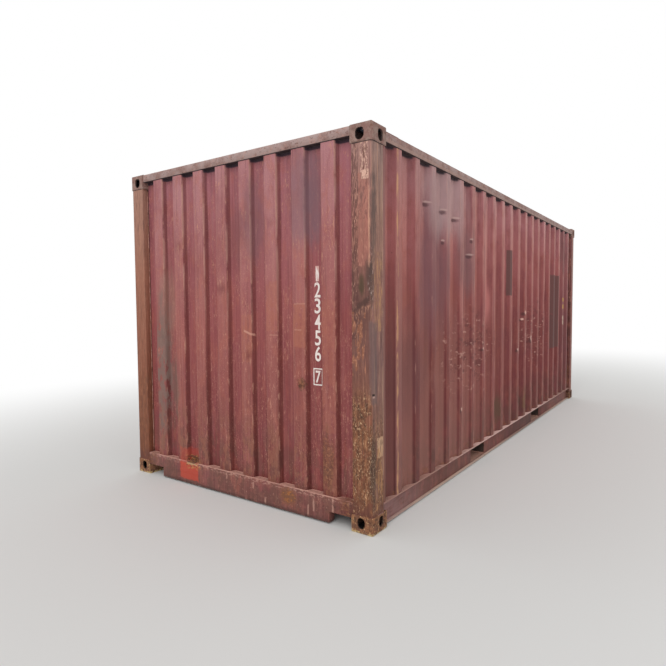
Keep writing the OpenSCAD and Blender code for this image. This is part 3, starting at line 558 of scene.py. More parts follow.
class Finish:
    """A material in layers, as paint, dirt, wear and rust lie on steel; lengths in metres, heights in
    millimetres. A tuple as a colour is a screen colour, and a tuple as a mask holds the values of blotches.
    Where the finish has a way round a corner, a size of two numbers is measured round it and up"""

    def __init__(self, roughness=0.62, colour=None):
        self.material = bpy.data.materials.new("finish")
        self.tree = Tree.emptied(self.material)
        self.place = self.tree.node("TexCoord").outputs["Object"]
        self.x, self.y, self.z = self.tree.split(self.place)
        self.side = self.tree.math("ABSOLUTE", self.y)
        self.around = None
        self.roughness = roughness
        self.metallic = 0.0
        self.height = None
        self.colour = linear(colour)

    def group(self, group, at=None, **values):
        node = self.tree.node("Group", node_tree=group)
        self.tree.feed(node.inputs["Vector"], self.place if at is None else at)
        for name, value in values.items():
            self.tree.feed(node.inputs[name.capitalize()], value)
        return node.outputs

    def blotches(self, size, threshold, softness=0.03, shift=0.0):
        at = None
        if isinstance(size, tuple) and len(size) == 2:
            at = self.around
            size = (size[0], 1.0, size[1])
        shift = (shift, shift * 1.7, shift * 0.6)
        return self.group(
            blotches_group(), at, size=cubed(size), threshold=threshold, softness=softness, shift=shift)[0]

    def patch(self, low, high, ragged, softness, grain=0.03, at=None):
        """Box with edges that stray by ragged in a pattern of a grain"""
        return self.group(
            patch_group(), at, low=low, high=high, ragged=ragged, softness=softness, grain=cubed(grain))[0]

    def end_patch(self, left, right, low, high, *more, **values):
        """Ragged patch on the blind end, between two places across and two heights"""
        return self.patch((END_SKIN[0], left, low), (END_SKIN[1], right, high), *more, **values)

    def side_patch(self, start, end, low, high, *more):
        """Ragged patch on the long sides, between two places along and two heights"""
        return self.patch((start, BOTH_SIDES[0], low), (end, BOTH_SIDES[1], high), *more)

    def smudge(self, middle, radii, **more):
        return self.group(smudge_group(), middle=middle, radii=radii, **more)[0]

    def end_smudge(self, y, z, width, height, up=0.2, ragged=0.8, grain=0.05):
        """Soft stain on the blind end, with a grain across it and up"""
        return self.smudge((-3, y, z), (1, width, height), grain=(grain, grain, up), ragged=ragged)

    def side_smudge(self, x, z, width, height, *grain, ragged=0.8):
        """Soft stain on the long sides, with a grain along and up"""
        grain = (grain[0], 9, grain[1]) if grain else (0.05, 0.05, 0.2)
        return self.smudge((x, 0, z), (width, 9, height), grain=grain, ragged=ragged)

    def edges(self, low, high, width, at=None):
        return self.group(edge_wear_group(), at, low=tuple(low), high=tuple(high), width=width)[0]

    def above(self, value, middle, softness):
        return self.tree.step(value, middle - softness, middle + softness)

    def below(self, value, middle, softness):
        return self.tree.step(value, middle - softness, middle + softness, 1.0, 0.0)

    def between(self, value, low, low_softness, high, high_softness):
        """1 above low and below high"""
        return self.both(self.above(value, low, low_softness), self.below(value, high, high_softness))

    def both(self, *masks):
        """Product of masks, where a tuple holds the values of blotches"""
        total = None
        for mask in masks:
            mask = self.blotches(*mask) if isinstance(mask, tuple) else mask
            total = mask if total is None else self.tree.math("MULTIPLY", total, mask)
        return total

    def either(self, first, second):
        return self.tree.math("MAXIMUM", first, second)

    def fade(self, value, low, high, *colours):
        """Base colour that changes evenly from value low to value high"""
        share = self.tree.step(value, low, high, kind="LINEAR")
        return self.tree.ramp(share, [(i / (len(colours) - 1), colour) for i, colour in enumerate(colours)])

    def lay(self, colour, amount, *masks, roughness=None, height=None, metallic=None):
        """Covers what is below with a colour where the masks are 1, and raises it by height"""
        mask = self.both(*masks)
        cover = self.tree.math("MULTIPLY", mask, amount)
        self.colour = self.tree.mix(cover, self.colour, linear(colour))
        if roughness is not None:
            self.roughness = self.tree.blend_values(cover, self.roughness, roughness)
        if metallic is not None:
            self.metallic = self.tree.blend_values(cover, self.metallic, metallic)
        if height is not None:
            self.raise_by(mask, height)

    def coats(self, *rows):
        """Lays coats in order, each a row of a colour, an amount and masks"""
        for row in rows:
            self.lay(*row)

    def tint(self, colour, amount, *masks):
        """Multiplies what is below by a colour where the masks are 1"""
        cover = self.tree.math("MULTIPLY", self.both(*masks), amount)
        self.colour = self.tree.mix(cover, self.colour, linear(colour), "MULTIPLY")

    def raise_by(self, mask, height):
        raised = self.tree.math("MULTIPLY", mask, height)
        self.height = raised if self.height is None else self.tree.math("ADD", self.height, raised)

    def mottle(self, size, depth, height):
        """Lightens and darkens by fine noise, and gives the surface its grain"""
        noise = self.tree.noise(self.tree.vector("DIVIDE", self.place, cubed(size)), 4.0, 0.6)
        share = self.tree.step(noise, 0.25, 0.75, 1 - depth, 1 + depth, "LINEAR")
        self.colour = self.tree.mix(1.0, self.colour, self.tree.join(share, share, share), "MULTIPLY")
        self.raise_by(noise, height)

    def rust(self, size, amount, *masks, height=0.4):
        mask = self.both(*masks)
        colour, bump = self.group(rust_group(), size=cubed(size))
        self.lay(colour, amount, mask, roughness=0.9)
        self.raise_by(self.tree.math("MULTIPLY", mask, bump), height)

    def done(self, specular=0.35):
        surface = self.tree.node("BsdfPrincipled")
        for name, value in (("Base Color", self.colour), ("Roughness", self.roughness),
                            ("Metallic", self.metallic), ("Specular IOR Level", specular)):
            self.tree.feed(surface.inputs[name], value)
        if self.height is not None:
            bump = self.tree.node("Bump")
            bump.inputs["Strength"].default_value = 1.0
            bump.inputs["Distance"].default_value = 0.001
            self.tree.feed(bump.inputs["Height"], self.height)
            self.tree.feed(surface.inputs["Normal"], bump.outputs[0])
        self.tree.filled(self.tree.node("OutputMaterial"), surface.outputs[0])
        return self.material


def made_once(make):
    """Makes the finish the first time that it is asked for, and finds it again later"""
    def ask(*values):
        name = " ".join(("worn", make.__name__, *values))
        material = bpy.data.materials.get(name)
        if not material:
            material = make(*values)
            material.name = name
        return material
    return ask


# Finishes


def weather(finish, streaks=0.18, spots=0.55):
    """Patches of duller, redder and browner paint, streaks that run down, scratches, chips and rust spots"""
    finish.tint((232, 216, 214), 0.8, ((0.45, 0.45, 0.8), 0.52, 0.12))
    finish.coats(
        ((172, 98, 82), 0.34, ((0.10, 0.10, 0.18), 0.56, 0.07, 1.7)),
        ((138, 72, 80), 0.34, ((0.14, 0.14, 0.30), 0.57, 0.07, 6.3)),
        ((184, 128, 118), streaks, ((0.018, 0.018, 0.55), 0.56, 0.10, 3.1)),
        ((98, 54, 54), 1.2 * streaks, ((0.022, 0.022, 0.75), 0.58, 0.08, 7.7)))
    finish.mottle(0.007, 0.13, 0.35)
    worn = finish.blotches((0.12, 0.12, 0.22), 0.52, 0.06, 11.0)
    finish.lay((196, 138, 118), spots, worn, ((0.004, 0.012, 0.05), 0.60, 0.03, 4.4))
    finish.lay((198, 148, 126), spots, worn, ((0.009, 0.009, 0.018), 0.64, 0.02, 5.3), height=-0.15)
    finish.lay((108, 74, 64), 0.55, finish.below(finish.z, 0.50, 0.25), ((0.07, 0.07, 0.13), 0.51, 0.05, 9.9))
    finish.rust(0.02, 0.8, ((0.016, 0.016, 0.030), 0.70, 0.02, 2.7), height=0.2)


def wall_fade(finish):
    """Chalky near the roof and darker near the ground"""
    colours = settings().colours
    return finish.fade(finish.z, *WALL_FADE, colours.sheltered, colours.faded, colours.chalky)


def fresh_patch(finish):
    """Later orange red paint on the lower corner of wall and sill, thin at the top, with bare damage in it"""
    fresh = settings().colours.fresh
    finish.lay(fresh, 0.85, finish.end_patch(0.430, 0.650, 0.045, 0.180, 0.03, 0.006), roughness=0.5)
    finish.lay(fresh, 0.42, finish.end_patch(0.430, 0.650, 0.150, 0.295, 0.07, 0.016), roughness=0.5)
    finish.coats(
        ((84, 66, 48), 0.8, finish.end_patch(0.455, 0.560, 0.165, 0.235, 0.10, 0.010, 0.02)),
        ((184, 132, 78), 0.75, finish.end_patch(0.405, 0.585, 0.140, 0.240, 0.06, 0.010),
         ((0.022, 0.022, 0.014), 0.55, 0.03, 2.2)),
        ((206, 168, 128), 0.7, finish.end_patch(0.440, 0.560, 0.172, 0.184, 0.016, 0.003, 0.02)))


@made_once
def front_wall_finish():
    """Tan, grey and rusty patches on the crests, dull grey smudges near the top, and painted shade on the
    slopes and in the troughs
    """
    finish = Finish()
    tree, above, below, between = finish.tree, finish.above, finish.below, finish.between
    pitch = settings().front_wall.pitch
    finish.colour = wall_fade(finish)
    behind = tree.math("ADD", finish.x, -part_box("front_wall")[0].x)
    trough = above(behind, 0.036, 0.006)
    crest = below(behind, 0.009, 0.003)
    # Painted shade: the troughs are darkened a little
    finish.tint((238, 224, 234), 0.9, trough)
    # Painted shade: the slopes and troughs beside the far post are darkened towards the top
    finish.tint((206, 188, 204), 0.8, above(finish.y, 1.02, 0.04), above(finish.z, 1.7, 0.5))
    weather(finish, 0.24, 0.70)
    finish.coats(
        ((206, 150, 130), 0.50, ((0.25, 0.25, 0.40), 0.46, 0.10, 12.0),
         ((0.007, 0.007, 0.016), 0.615, 0.02, 3.4)),
        ((160, 84, 88), 0.25, trough, ((0.03, 0.03, 1.2), 0.48, 0.10, 2.2)))
    # Painted shade: the slopes between the crests and the troughs are darkened
    finish.tint((190, 162, 166), 0.8, between(behind, 0.007, 0.004, 0.039, 0.004))
    across = tree.math("WRAP", tree.math("ADD", finish.y, pitch / 2), pitch, 0.0)
    finish.coats(
        ((196, 144, 124), 0.5, between(behind, 0.004, 0.002, 0.014, 0.004),
         ((0.02, 0.02, 0.10), 0.58, 0.04, 6.6)),
        ((202, 154, 140), 0.45, between(across, 0.189, 0.002, 0.198, 0.002), above(finish.z, 1.5, 0.5),
         ((0.2, 0.2, 0.30), 0.46, 0.08, 7.9)))
    for colour, amount, *place in (
            ((116, 90, 98), 0.60, -0.74, 2.20, 0.10, 0.46), ((128, 98, 106), 0.50, -0.64, 2.18, 0.16, 0.46),
            ((112, 84, 90), 0.42, -0.20, 2.08, 0.13, 0.44), ((122, 74, 76), 0.45, -0.02, 1.98, 0.12, 0.34),
            ((158, 128, 112), 0.35, 0.80, 1.50, 0.12, 0.40)):
        finish.lay(colour, amount, finish.end_smudge(*place, 0.12))
    finish.lay((122, 104, 96), 0.75, finish.end_smudge(0.865, 0.95, 0.13, 0.75, 0.15, 1.2),
               ((0.04, 0.04, 0.10), 0.46, 0.06, 1.9))
    finish.lay((112, 92, 82), 0.6, finish.end_smudge(0.72, 0.78, 0.09, 0.42, 0.10, 1.2))
    for amount, *place in ((0.55, -0.700, -0.580, 1.180, 1.475), (0.40, -0.440, -0.330, 1.290, 1.640),
                           (0.30, -0.940, -0.820, 0.620, 1.500), (0.35, -0.190, -0.080, 1.050, 1.400)):
        tan = finish.end_patch(*place, 0.04, 0.006, (0.03, 0.03, 0.06))
        finish.lay((172, 106, 86), amount, crest, tan, ((0.03, 0.03, 0.06), 0.44, 0.08, 3.7))
    lowered = tree.math("SUBTRACT", finish.z, tree.math("MULTIPLY", finish.y, 0.35))
    scratch = finish.end_patch(-0.192, -0.104, 1.312, 1.328, 0.012, 0.004, 0.02,
                               at=tree.join(finish.x, finish.y, lowered))
    finish.lay((206, 152, 134), 0.7, scratch)
    for y, z, width in ((-0.400, 1.258, 0.040), (-0.640, 1.478, 0.050), (-0.620, 1.300, 0.030)):
        line = finish.end_patch(y - width, y + width, z - 0.004, z + 0.004, 0.010, 0.002, 0.02)
        finish.lay((200, 146, 126), 0.45, crest, line)
    finish.rust(0.02, 0.8, finish.end_smudge(-0.645, 0.93, 0.045, 0.06, 0.02, 1.6, 0.02))
    finish.lay((150, 98, 78), 0.5, crest, below(finish.z, 0.62, 0.20), ((0.03, 0.03, 0.07), 0.52, 0.04, 7))
    finish.rust(0.02, 0.55, crest, finish.end_smudge(-0.86, 0.42, 0.08, 0.30, ragged=1.6))
    # Painted shadow under the header: the top of each trough is near black
    finish.lay((52, 46, 58), 0.9, above(finish.z, 2.503, 0.006), above(behind, 0.012, 0.006))
    fresh_patch(finish)
    finish.tint((224, 204, 198), 0.6, below(finish.z, 0.22, 0.04))
    return finish.done(0.28)


@made_once
def side_wall_finish():
    """Paint with painted shade and highlights along each rib, darkest on the slopes towards the blind end,
    painted shade low down near the blind end, beside the front post and under the top rail, painted light in
    the lower troughs, purple smudges and pale bays and, on the left side alone, dull overpainted patches,
    scuffs, chips, folds with painted highlights and shade, and marks"""
    finish = Finish()
    tree, above, below, between = finish.tree, finish.above, finish.below, finish.between
    smudge = finish.side_smudge
    sizes = settings().side_wall
    finish.colour = finish.fade(
        finish.z, *WALL_FADE, (136, 86, 78), (148, 80, 75), (153, 86, 80), (176, 106, 101), (200, 134, 128),
        (212, 158, 156))
    behind = tree.math("SUBTRACT", -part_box("side_wall_left")[0].y, finish.side)
    crest = below(behind, 0.009, 0.004)
    hollow = above(behind, 0.014, 0.006)
    left = below(finish.y, 0.0, 0.1)
    weather(finish)
    first = CAD_BOX[0][0] + sizes.first_crest
    along = tree.math("DIVIDE", tree.math("WRAP", tree.math("SUBTRACT", finish.x, first), sizes.pitch, 0.0),
                      sizes.pitch)
    # Painted shade and highlight along each rib: a light crest edge and dark slopes facing the blind end
    painted_shade_over_a_rib = tree.ramp(along, (
        (0.0, (242, 240, 240)), (0.12, (255, 255, 255)), (0.17, (226, 214, 216)), (0.38, (255, 253, 253)),
        (0.60, (242, 236, 236)), (0.65, (200, 178, 186)), (0.85, (204, 182, 190)), (0.885, (238, 234, 234)),
        (1.0, (242, 240, 240))))
    finish.colour = tree.mix(1.0, finish.colour, painted_shade_over_a_rib, "MULTIPLY")
    # Painted shade: darker low down towards the blind end
    finish.tint((214, 206, 208), 0.8, below(finish.x, -1.7, 0.8), below(finish.z, 1.25, 0.55))
    finish.tint((224, 216, 216), 0.8, below(finish.x, -1.5, 0.5), above(finish.z, 2.15, 0.30))
    # Painted light: the lower troughs towards the blind end are lightened to offset their shade
    finish.lay((172, 122, 110), 0.42, hollow, below(finish.x, -0.9, 1.0), below(finish.z, 1.35, 0.7))
    for colour, amount, *place in (
            ((118, 86, 92), 0.58, -2.06, 1.74, 0.42, 0.72), ((120, 92, 94), 0.55, -1.40, 1.86, 0.30, 0.46),
            ((104, 66, 68), 0.35, -2.50, 0.95, 0.42, 0.45), ((96, 64, 68), 0.36, 2.50, 1.30, 0.45, 1.50),
            ((206, 132, 126), 0.55, -0.85, 1.47, 0.12, 0.30),
            ((190, 120, 114), 0.40, -1.50, 1.50, 0.10, 0.30)):
        finish.lay(colour, amount, smudge(*place, 0.08, 0.4))
    finish.coats(
        ((186, 166, 166), 0.45, smudge(-1.84, 2.32, 0.62, 0.46, 0.08, 0.5)),
        ((214, 160, 148), 0.60, between(along, 0.080, 0.02, 0.170, 0.01), above(finish.x, -1.7, 0.6),
         ((0.05, 0.05, 0.30), 0.47, 0.08, 6.6)),
        ((200, 150, 132), 0.4, between(along, 0.855, 0.01, 0.90, 0.01),
         ((0.02, 0.02, 0.16), 0.60, 0.05, 8.6)),
        ((176, 126, 118), 0.40, crest, below(finish.x, -2.6, 0.01), smudge(-2.65, 1.00, 0.4, 1.4)),
        ((216, 164, 118), 0.60, between(finish.x, -2.690, 0.003, -2.668, 0.003),
         ((0.03, 0.03, 0.20), 0.50, 0.05)))
    scuffed = finish.both(left, finish.either(
        smudge(-1.30, 1.05, 0.70, 0.50, ragged=1.5), smudge(0.85, 1.10, 0.80, 0.50, ragged=1.5)))
    finish.coats(
        ((92, 48, 48), 0.55, scuffed, ((0.10, 0.05, 0.05), 0.57, 0.04, 8.4)),
        ((208, 160, 146), 0.6, scuffed, ((0.070, 0.05, 0.030), 0.61, 0.03, 4.4)))
    for x, z, long, tall in (
            (-0.960, 1.050, 0.050, 0.012), (0.400, 1.365, 0.040, 0.020), (0.700, 1.050, 0.050, 0.030),
            (0.330, 1.290, 0.030, 0.012), (0.790, 1.130, 0.030, 0.014), (0.120, 0.960, 0.030, 0.016),
            (-0.930, 1.385, 0.014, 0.020), (-0.900, 0.880, 0.022, 0.024), (-1.530, 0.565, 0.016, 0.016)):
        for aside, drop, colour in ((0.0, 0.0, (222, 178, 164)), (-1.2 * long, -0.8 * tall, (84, 42, 42))):
            chip = smudge(x + aside, z + drop, 1.3 * long, 1.5 * tall, 0.03, 0.012, ragged=1.1)
            finish.lay(colour, 0.88, left, chip)
    finish.lay((226, 192, 184), 0.85, left, between(along, 0.085, 0.01, 0.165, 0.01),
               smudge(0.22, 1.06, 0.70, 0.24, ragged=0.6))
    for x, z, colour in ((-0.52, 0.40, (92, 70, 54)), (0.42, 0.36, (112, 82, 48)), (0.80, 0.42, (74, 44, 38)),
                         (0.24, 0.38, (78, 56, 46))):
        finish.lay(colour, 0.70, smudge(x, z, 0.09, 0.18, 0.04, 0.08, ragged=1.2))
    finish.lay((92, 62, 62), 0.50, left, smudge(2.38, 2.22, 0.30, 0.42, 0.05, 0.10, ragged=1.4))
    # Darker first bay low down beside the front post: paint less weathered there, and painted shade from the
    # post
    finish.tint((208, 188, 194), 0.9, between(finish.x, -2.845, 0.008, -2.698, 0.008),
                below(finish.z, 1.45, 0.65))
    near_post = finish.fade(
        finish.z, 0.2, 2.4, (140, 96, 80), (134, 92, 84), (138, 96, 90), (150, 106, 102))
    finish.lay(near_post, 0.75, below(finish.x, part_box("post_front_left")[1].x + 0.037, 0.003))
    overpaint = settings().colours.overpaint
    finish.lay(overpaint, 0.85, left, finish.side_patch(-0.240, -0.112, 1.555, 2.030, 0.02, 0.006))
    for start, end in ((1.650, 1.835), (1.930, 2.060)):
        stripe = finish.side_patch(start, end, 0.860, 1.850, 0.03, 0.010)
        finish.lay(overpaint, 0.82, left, stripe, ((0.5, 9, 0.16), 0.30, 0.05, 2.9))
    for height, colour in ((1.52, (204, 160, 84)), (1.42, (204, 160, 84)), (1.26, (196, 168, 150)),
                           (1.19, (196, 168, 150))):
        mark = finish.side_patch(2.315, 2.400, height - 0.03, height + 0.03, 0.05, 0.004)
        finish.lay(colour, 0.8, left, mark)
    # Painted highlight above each fold and painted shade in it, at the dents of the sheet
    for x, z, long in ((-2.190, 2.214, 0.040), (-1.895, 2.196, 0.040), (-1.640, 2.166, 0.050),
                       (-1.900, 1.955, 0.018), (-1.310, 2.020, 0.024), (-1.330, 1.885, 0.050)):
        finish.coats(
            ((198, 164, 158), 0.6, left, smudge(x + 0.3 * long, z + 0.016, 1.4 * long, 0.012, 0.03, 0.02)),
            ((84, 54, 58), 0.75, left, smudge(x, z - 0.006, 1.2 * long, 0.022, 0.03, 0.02)))
    # Painted shadow under the top rail: the top of each trough is near black
    finish.lay((48, 42, 52), 0.9, above(finish.z, 2.484, 0.008), hollow)
    finish.rust(0.03, 0.4, below(finish.z, 0.24, 0.05), (0.05, 0.55, 0.05, 1.3))
    return finish.done(0.25)


@made_once
def roof_finish():
    """Chalky paint, lighter on the pans, with rust spots"""
    finish = Finish(0.7)
    finish.colour = finish.fade(finish.z, 2.563, 2.586, (140, 96, 90), (160, 118, 113))
    finish.tint((226, 212, 210), 0.8, (0.5, 0.52, 0.12))
    finish.mottle(0.012, 0.10, 0.3)
    finish.lay((186, 150, 142), 0.35, ((0.10, 0.02, 0.1), 0.60, 0.05, 2.1))
    finish.rust(0.03, 0.75, (0.14, 0.63, 0.05, 6.2))
    finish.rust(0.01, 0.8, (0.015, 0.67, 0.02, 1.2))
    return finish.done(0.3)


@made_once
def front_post_finish():
    """Peeling paint over rust. Bend is the way round the corner: 0 on it, positive on the blind end's face.
    Most of it lies on the near post alone"""
    finish = Finish(0.72)
    tree, above, below, coats = finish.tree, finish.above, finish.below, finish.coats
    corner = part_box("post_front_left")[0]
    bend = tree.math(
        "SUBTRACT", tree.math("SUBTRACT", -corner.y, finish.side),
        tree.math("SUBTRACT", finish.x, corner.x))
    finish.around = tree.join(bend, 0.0, finish.z)
    near = below(finish.y, 0, 0.1)

    def zone(low, high, bottom, top, ragged=0.035, softness=0.004, grain=(0.025, 1.0, 0.16)):
        """Ragged patch from low to high round the near corner and from bottom to top"""
        return finish.both(near, finish.patch(
            (low, -1, bottom), (high, 1, top), ragged, softness, grain, finish.around))

    def stain(middle, height, width, length, ragged=1.0):
        """Soft stain about a place on the near post"""
        return finish.both(near, finish.smudge(
            (middle, 0, height), (width, 1, length), grain=(0.03, 1.0, 0.06), ragged=ragged,
            at=finish.around))

    def slanted_stain(height, tall):
        """Soft stain that slants down across the near post's blind end face"""
        at = tree.join(bend, 0.0, tree.math("ADD", finish.z, tree.math("MULTIPLY", bend, 0.62)))
        return finish.both(near, finish.smudge(
            (0.070, 0, height), (0.080, 1, tall), grain=(0.02, 1, 0.04), ragged=1.3, at=at))

    end_face = finish.fade(
        finish.z, *POST_FADE, (130, 78, 56), (138, 84, 62), (122, 80, 72), (114, 76, 68), (160, 106, 94),
        (162, 122, 114))
    side_face = finish.fade(
        finish.z, *POST_FADE, (142, 94, 76), (144, 102, 88), (132, 94, 90), (158, 110, 98), (158, 118, 104),
        (156, 126, 118))
    finish.colour = tree.mix(above(bend, -0.004, 0.004), side_face, end_face)
    far_post = finish.fade(
        finish.z, *POST_FADE, (130, 76, 54), (140, 86, 66), (156, 104, 84), (162, 120, 104))
    finish.lay(far_post, 1.0, tree.math("SUBTRACT", 1.0, near))
    finish.mottle((0.010, 0.010, 0.03), 0.16, 0.5)
    finish.mottle((0.004, 0.004, 0.10), 0.14, 0.3)
    on_side = below(bend, -0.004, 0.004)
    plate = finish.both(zone(0.022, 0.102, 1.72, 2.28, 0.10, 0.006, (0.03, 1.0, 0.20)),
                        ((0.03, 0.22), 0.45, 0.07, 2.6))
    cracks = zone(0.098, 0.20, 1.25, 2.60, 0.03)
    flakes = zone(0.026, 0.084, 2.26, 2.60, 0.02)
    coats(
        ((182, 134, 110), 0.40, ((0.009, 0.26), 0.58, 0.05, 1.1)),
        ((84, 58, 50), 0.55, ((0.007, 0.18), 0.59, 0.04, 6.1)),
        ((196, 150, 128), 0.50, on_side, ((0.022, 0.36), 0.55, 0.06, 3.3)),
        ((98, 66, 58), 0.55, on_side, ((0.018, 0.30), 0.56, 0.06, 8.3)),
        ((172, 110, 97), 0.62, plate),
        ((196, 140, 120), 0.5, plate, ((0.010, 0.05), 0.58, 0.04, 5.2)),
        ((104, 64, 56), 0.6, plate, ((0.008, 0.09), 0.60, 0.04, 7.2)),
        ((92, 56, 52), 0.70, cracks, ((0.009, 0.06), 0.50, 0.04, 3.9)),
        ((208, 156, 134), 0.75, cracks, ((0.008, 0.05), 0.60, 0.03, 5.9)),
        ((106, 68, 56), 0.65, flakes, ((0.018, 0.06), 0.54, 0.03, 2.3)))
    finish.lay((218, 174, 156), 0.80, flakes, ((0.011, 0.030), 0.54, 0.02, 8.3), height=0.5)
    scraped = zone(-0.130, -0.030, 1.30, 1.80, 0.03)
    orange = finish.both(zone(0.050, 0.150, 1.02, 1.42, 0.06), ((0.020, 0.08), 0.54, 0.05, 7.3))
    coats(
        ((228, 184, 164), 0.85, zone(0.022, 0.072, 2.245, 2.30, 0.02), ((0.02, 0.03), 0.42, 0.04, 4.7)),
        ((112, 74, 70), 0.55, zone(0.030, 0.120, 2.00, 2.26, 0.03), ((0.016, 0.05), 0.54, 0.04, 1.3)),
        ((94, 76, 72), 0.80, stain(-0.020, 2.02, 0.048, 0.40, 1.1)),
        ((78, 60, 56), 0.80, stain(-0.004, 1.62, 0.034, 0.24, 1.1)),
        ((214, 186, 176), 0.7, stain(0.004, 1.62, 0.040, 0.26), ((0.006, 0.03), 0.60, 0.03, 6.9)),
        ((168, 126, 106), 0.6, zone(-0.045, 0.010, 1.30, 2.60, 0.02), ((0.006, 0.12), 0.58, 0.03, 9.2)),
        ((212, 160, 134), 0.75, zone(0.014, 0.024, 1.70, 2.20, 0.02, 0.003), ((0.02, 0.10), 0.42, 0.06, 0.7)),
        ((84, 62, 56), 0.70, stain(0.020, 1.66, 0.036, 0.12)),
        ((76, 62, 42), 0.75, stain(0.076, 1.59, 0.030, 0.09, 0.8)),
        ((72, 50, 44), 0.75, slanted_stain(1.516, 0.036)),
        ((206, 150, 122), 0.70, slanted_stain(1.476, 0.040), ((0.010, 0.025), 0.52, 0.04, 1.9)),
        ((100, 64, 58), 0.45, stain(0.070, 1.40, 0.070, 0.14, 1.2)),
        ((160, 112, 92), 0.40, stain(-0.080, 1.50, 0.060, 0.30, 1.6)),
        ((196, 146, 100), 0.7, scraped, ((0.008, 0.09), 0.55, 0.03, 5.1)),
        ((104, 74, 66), 0.6, scraped, ((0.009, 0.07), 0.58, 0.03, 2.7)),
        ((160, 100, 72), 0.55, orange),
        ((206, 146, 114), 0.7, orange, ((0.008, 0.025), 0.56, 0.03, 3.1)),
        ((112, 92, 90), 0.60, zone(-0.060, 0.020, 0.84, 1.36, 0.05, 0.012)))
    end_rust = finish.both(above(bend, 0.004, 0.004), below(finish.z, 0.90, 0.10),
                           ((0.05, 0.10), 0.42, 0.06, 7.1), tree.math("MULTIPLY_ADD", near, 0.55, 0.45))
    side_rust = finish.both(below(bend, 0.004, 0.004), below(finish.z, 0.74, 0.18),
                            ((0.03, 0.16), 0.46, 0.06, 9.1))
    finish.rust((0.020, 0.020, 0.07), 0.75, end_rust, height=0.8)
    finish.rust((0.014, 0.014, 0.09), 0.65, side_rust, height=0.8)
    chipped = finish.both(near, finish.either(end_rust, side_rust), ((0.035, 0.07), 0.49, 0.12, 5.5))
    coats(
        ((226, 184, 144), 0.75, chipped, ((0.008, 0.018), 0.56, 0.03, 2.9)),
        ((62, 44, 38), 0.70, chipped, ((0.012, 0.030), 0.58, 0.03, 0.4)),
        ((214, 172, 138), 0.80, zone(-0.132, -0.060, 0.49, 0.62, 0.03), ((0.010, 0.05), 0.42, 0.05, 6.4)),
        ((198, 146, 100), 0.70, zone(-0.140, -0.030, 0.15, 0.56, 0.04), ((0.010, 0.08), 0.55, 0.03, 3.7)),
        ((70, 52, 46), 0.60, zone(-0.120, -0.030, 0.20, 0.60, 0.04), ((0.012, 0.10), 0.57, 0.03, 7.7)),
        ((70, 54, 46), 0.72, stain(-0.012, 0.42, 0.044, 0.36, 1.5)),
        ((206, 176, 146), 0.7, stain(-0.004, 0.46, 0.050, 0.36), ((0.007, 0.020), 0.59, 0.03, 4.1)),
        ((104, 62, 54), 0.7, below(finish.z, 0.20, 0.04), ((0.04, 0.05), 0.46, 0.05, 8.8)),
        # Painted highlight along the rear bend of the post's side face, broken by blotches
        ((198, 160, 142), 0.55, below(bend, -0.133, 0.003), ((0.02, 0.16), 0.45, 0.05, 4.6)))
    finish.lay((38, 28, 28), 0.9, zone(-0.030, -0.005, 0.896, 0.908, 0.004, 0.002), height=-2.0)
    finish.lay((196, 160, 150), 0.7, zone(-0.032, -0.008, 0.882, 0.893, 0.004, 0.003))
    return finish.done()


@made_once
def rear_post_finish():
    """Faded paint, with painted shade in the corner by the wall and light along the outer edge, rusted low
    down
    """
    finish = Finish(0.7)
    inner_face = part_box("post_rear_left")[0].x
    finish.colour = finish.fade(
        finish.z, *POST_FADE, (112, 68, 58), (122, 76, 68), (128, 84, 78), (136, 98, 94))
    # Painted shade in the corner by the wall; the outer part is laid lighter
    finish.tint((160, 136, 132), 0.9, finish.below(finish.x, inner_face + 0.030, 0.012))
    finish.lay((170, 130, 116), 0.55, finish.above(finish.x, inner_face + 0.045, 0.015))
    weather(finish, 0.35, 0.62)
    finish.rust(0.02, 0.7, finish.below(finish.z, 0.6, 0.4), ((0.03, 0.03, 0.1), 0.57, 0.04))
    return finish.done()


@made_once
def top_rail_finish():
    """Weathered paint with brown spots, light on the worn edges and black painted shade on the underside"""
    finish = Finish(0.7)
    header_low, header_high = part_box("front_header")
    rail_low, rail_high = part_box("top_rail_right")
    finish.colour = finish.fade(finish.z, rail_low.z, header_high.z, (152, 126, 120), (178, 154, 150))
    finish.tint((214, 190, 182), 0.8, (0.12, 0.52, 0.10))
    finish.mottle(0.008, 0.14, 0.4)
    finish.coats(
        ((188, 144, 132), 0.45, ((0.03, 0.03, 0.02), 0.58, 0.04, 2.2)),
        ((94, 62, 54), 0.6, ((0.025, 0.025, 0.016), 0.62, 0.03, 8.2)))
    finish.rust(0.02, 0.6, ((0.035, 0.035, 0.022), 0.66, 0.03, 4.6))
    finish.coats(
        ((188, 154, 142), 0.4, finish.edges(
            (header_low.x, -2, header_low.z), (header_high.x, 2, header_high.z), 0.005)),
        ((188, 154, 142), 0.4, finish.edges((-4, -rail_high.y, rail_low.z), (4, *rail_high.yz), 0.005)))
    # Painted shade: the undersides of the header and the rails are near black
    shade_under_header = finish.both(finish.below(finish.x, header_high.x + 0.02, 0.01),
                               finish.below(finish.z, header_low.z + 0.0018, 0.0008))
    shade_under_rail = finish.below(finish.z, rail_low.z + 0.0018, 0.0008)
    finish.lay((46, 40, 46), 0.92, finish.either(shade_under_header, shade_under_rail))
    return finish.done()


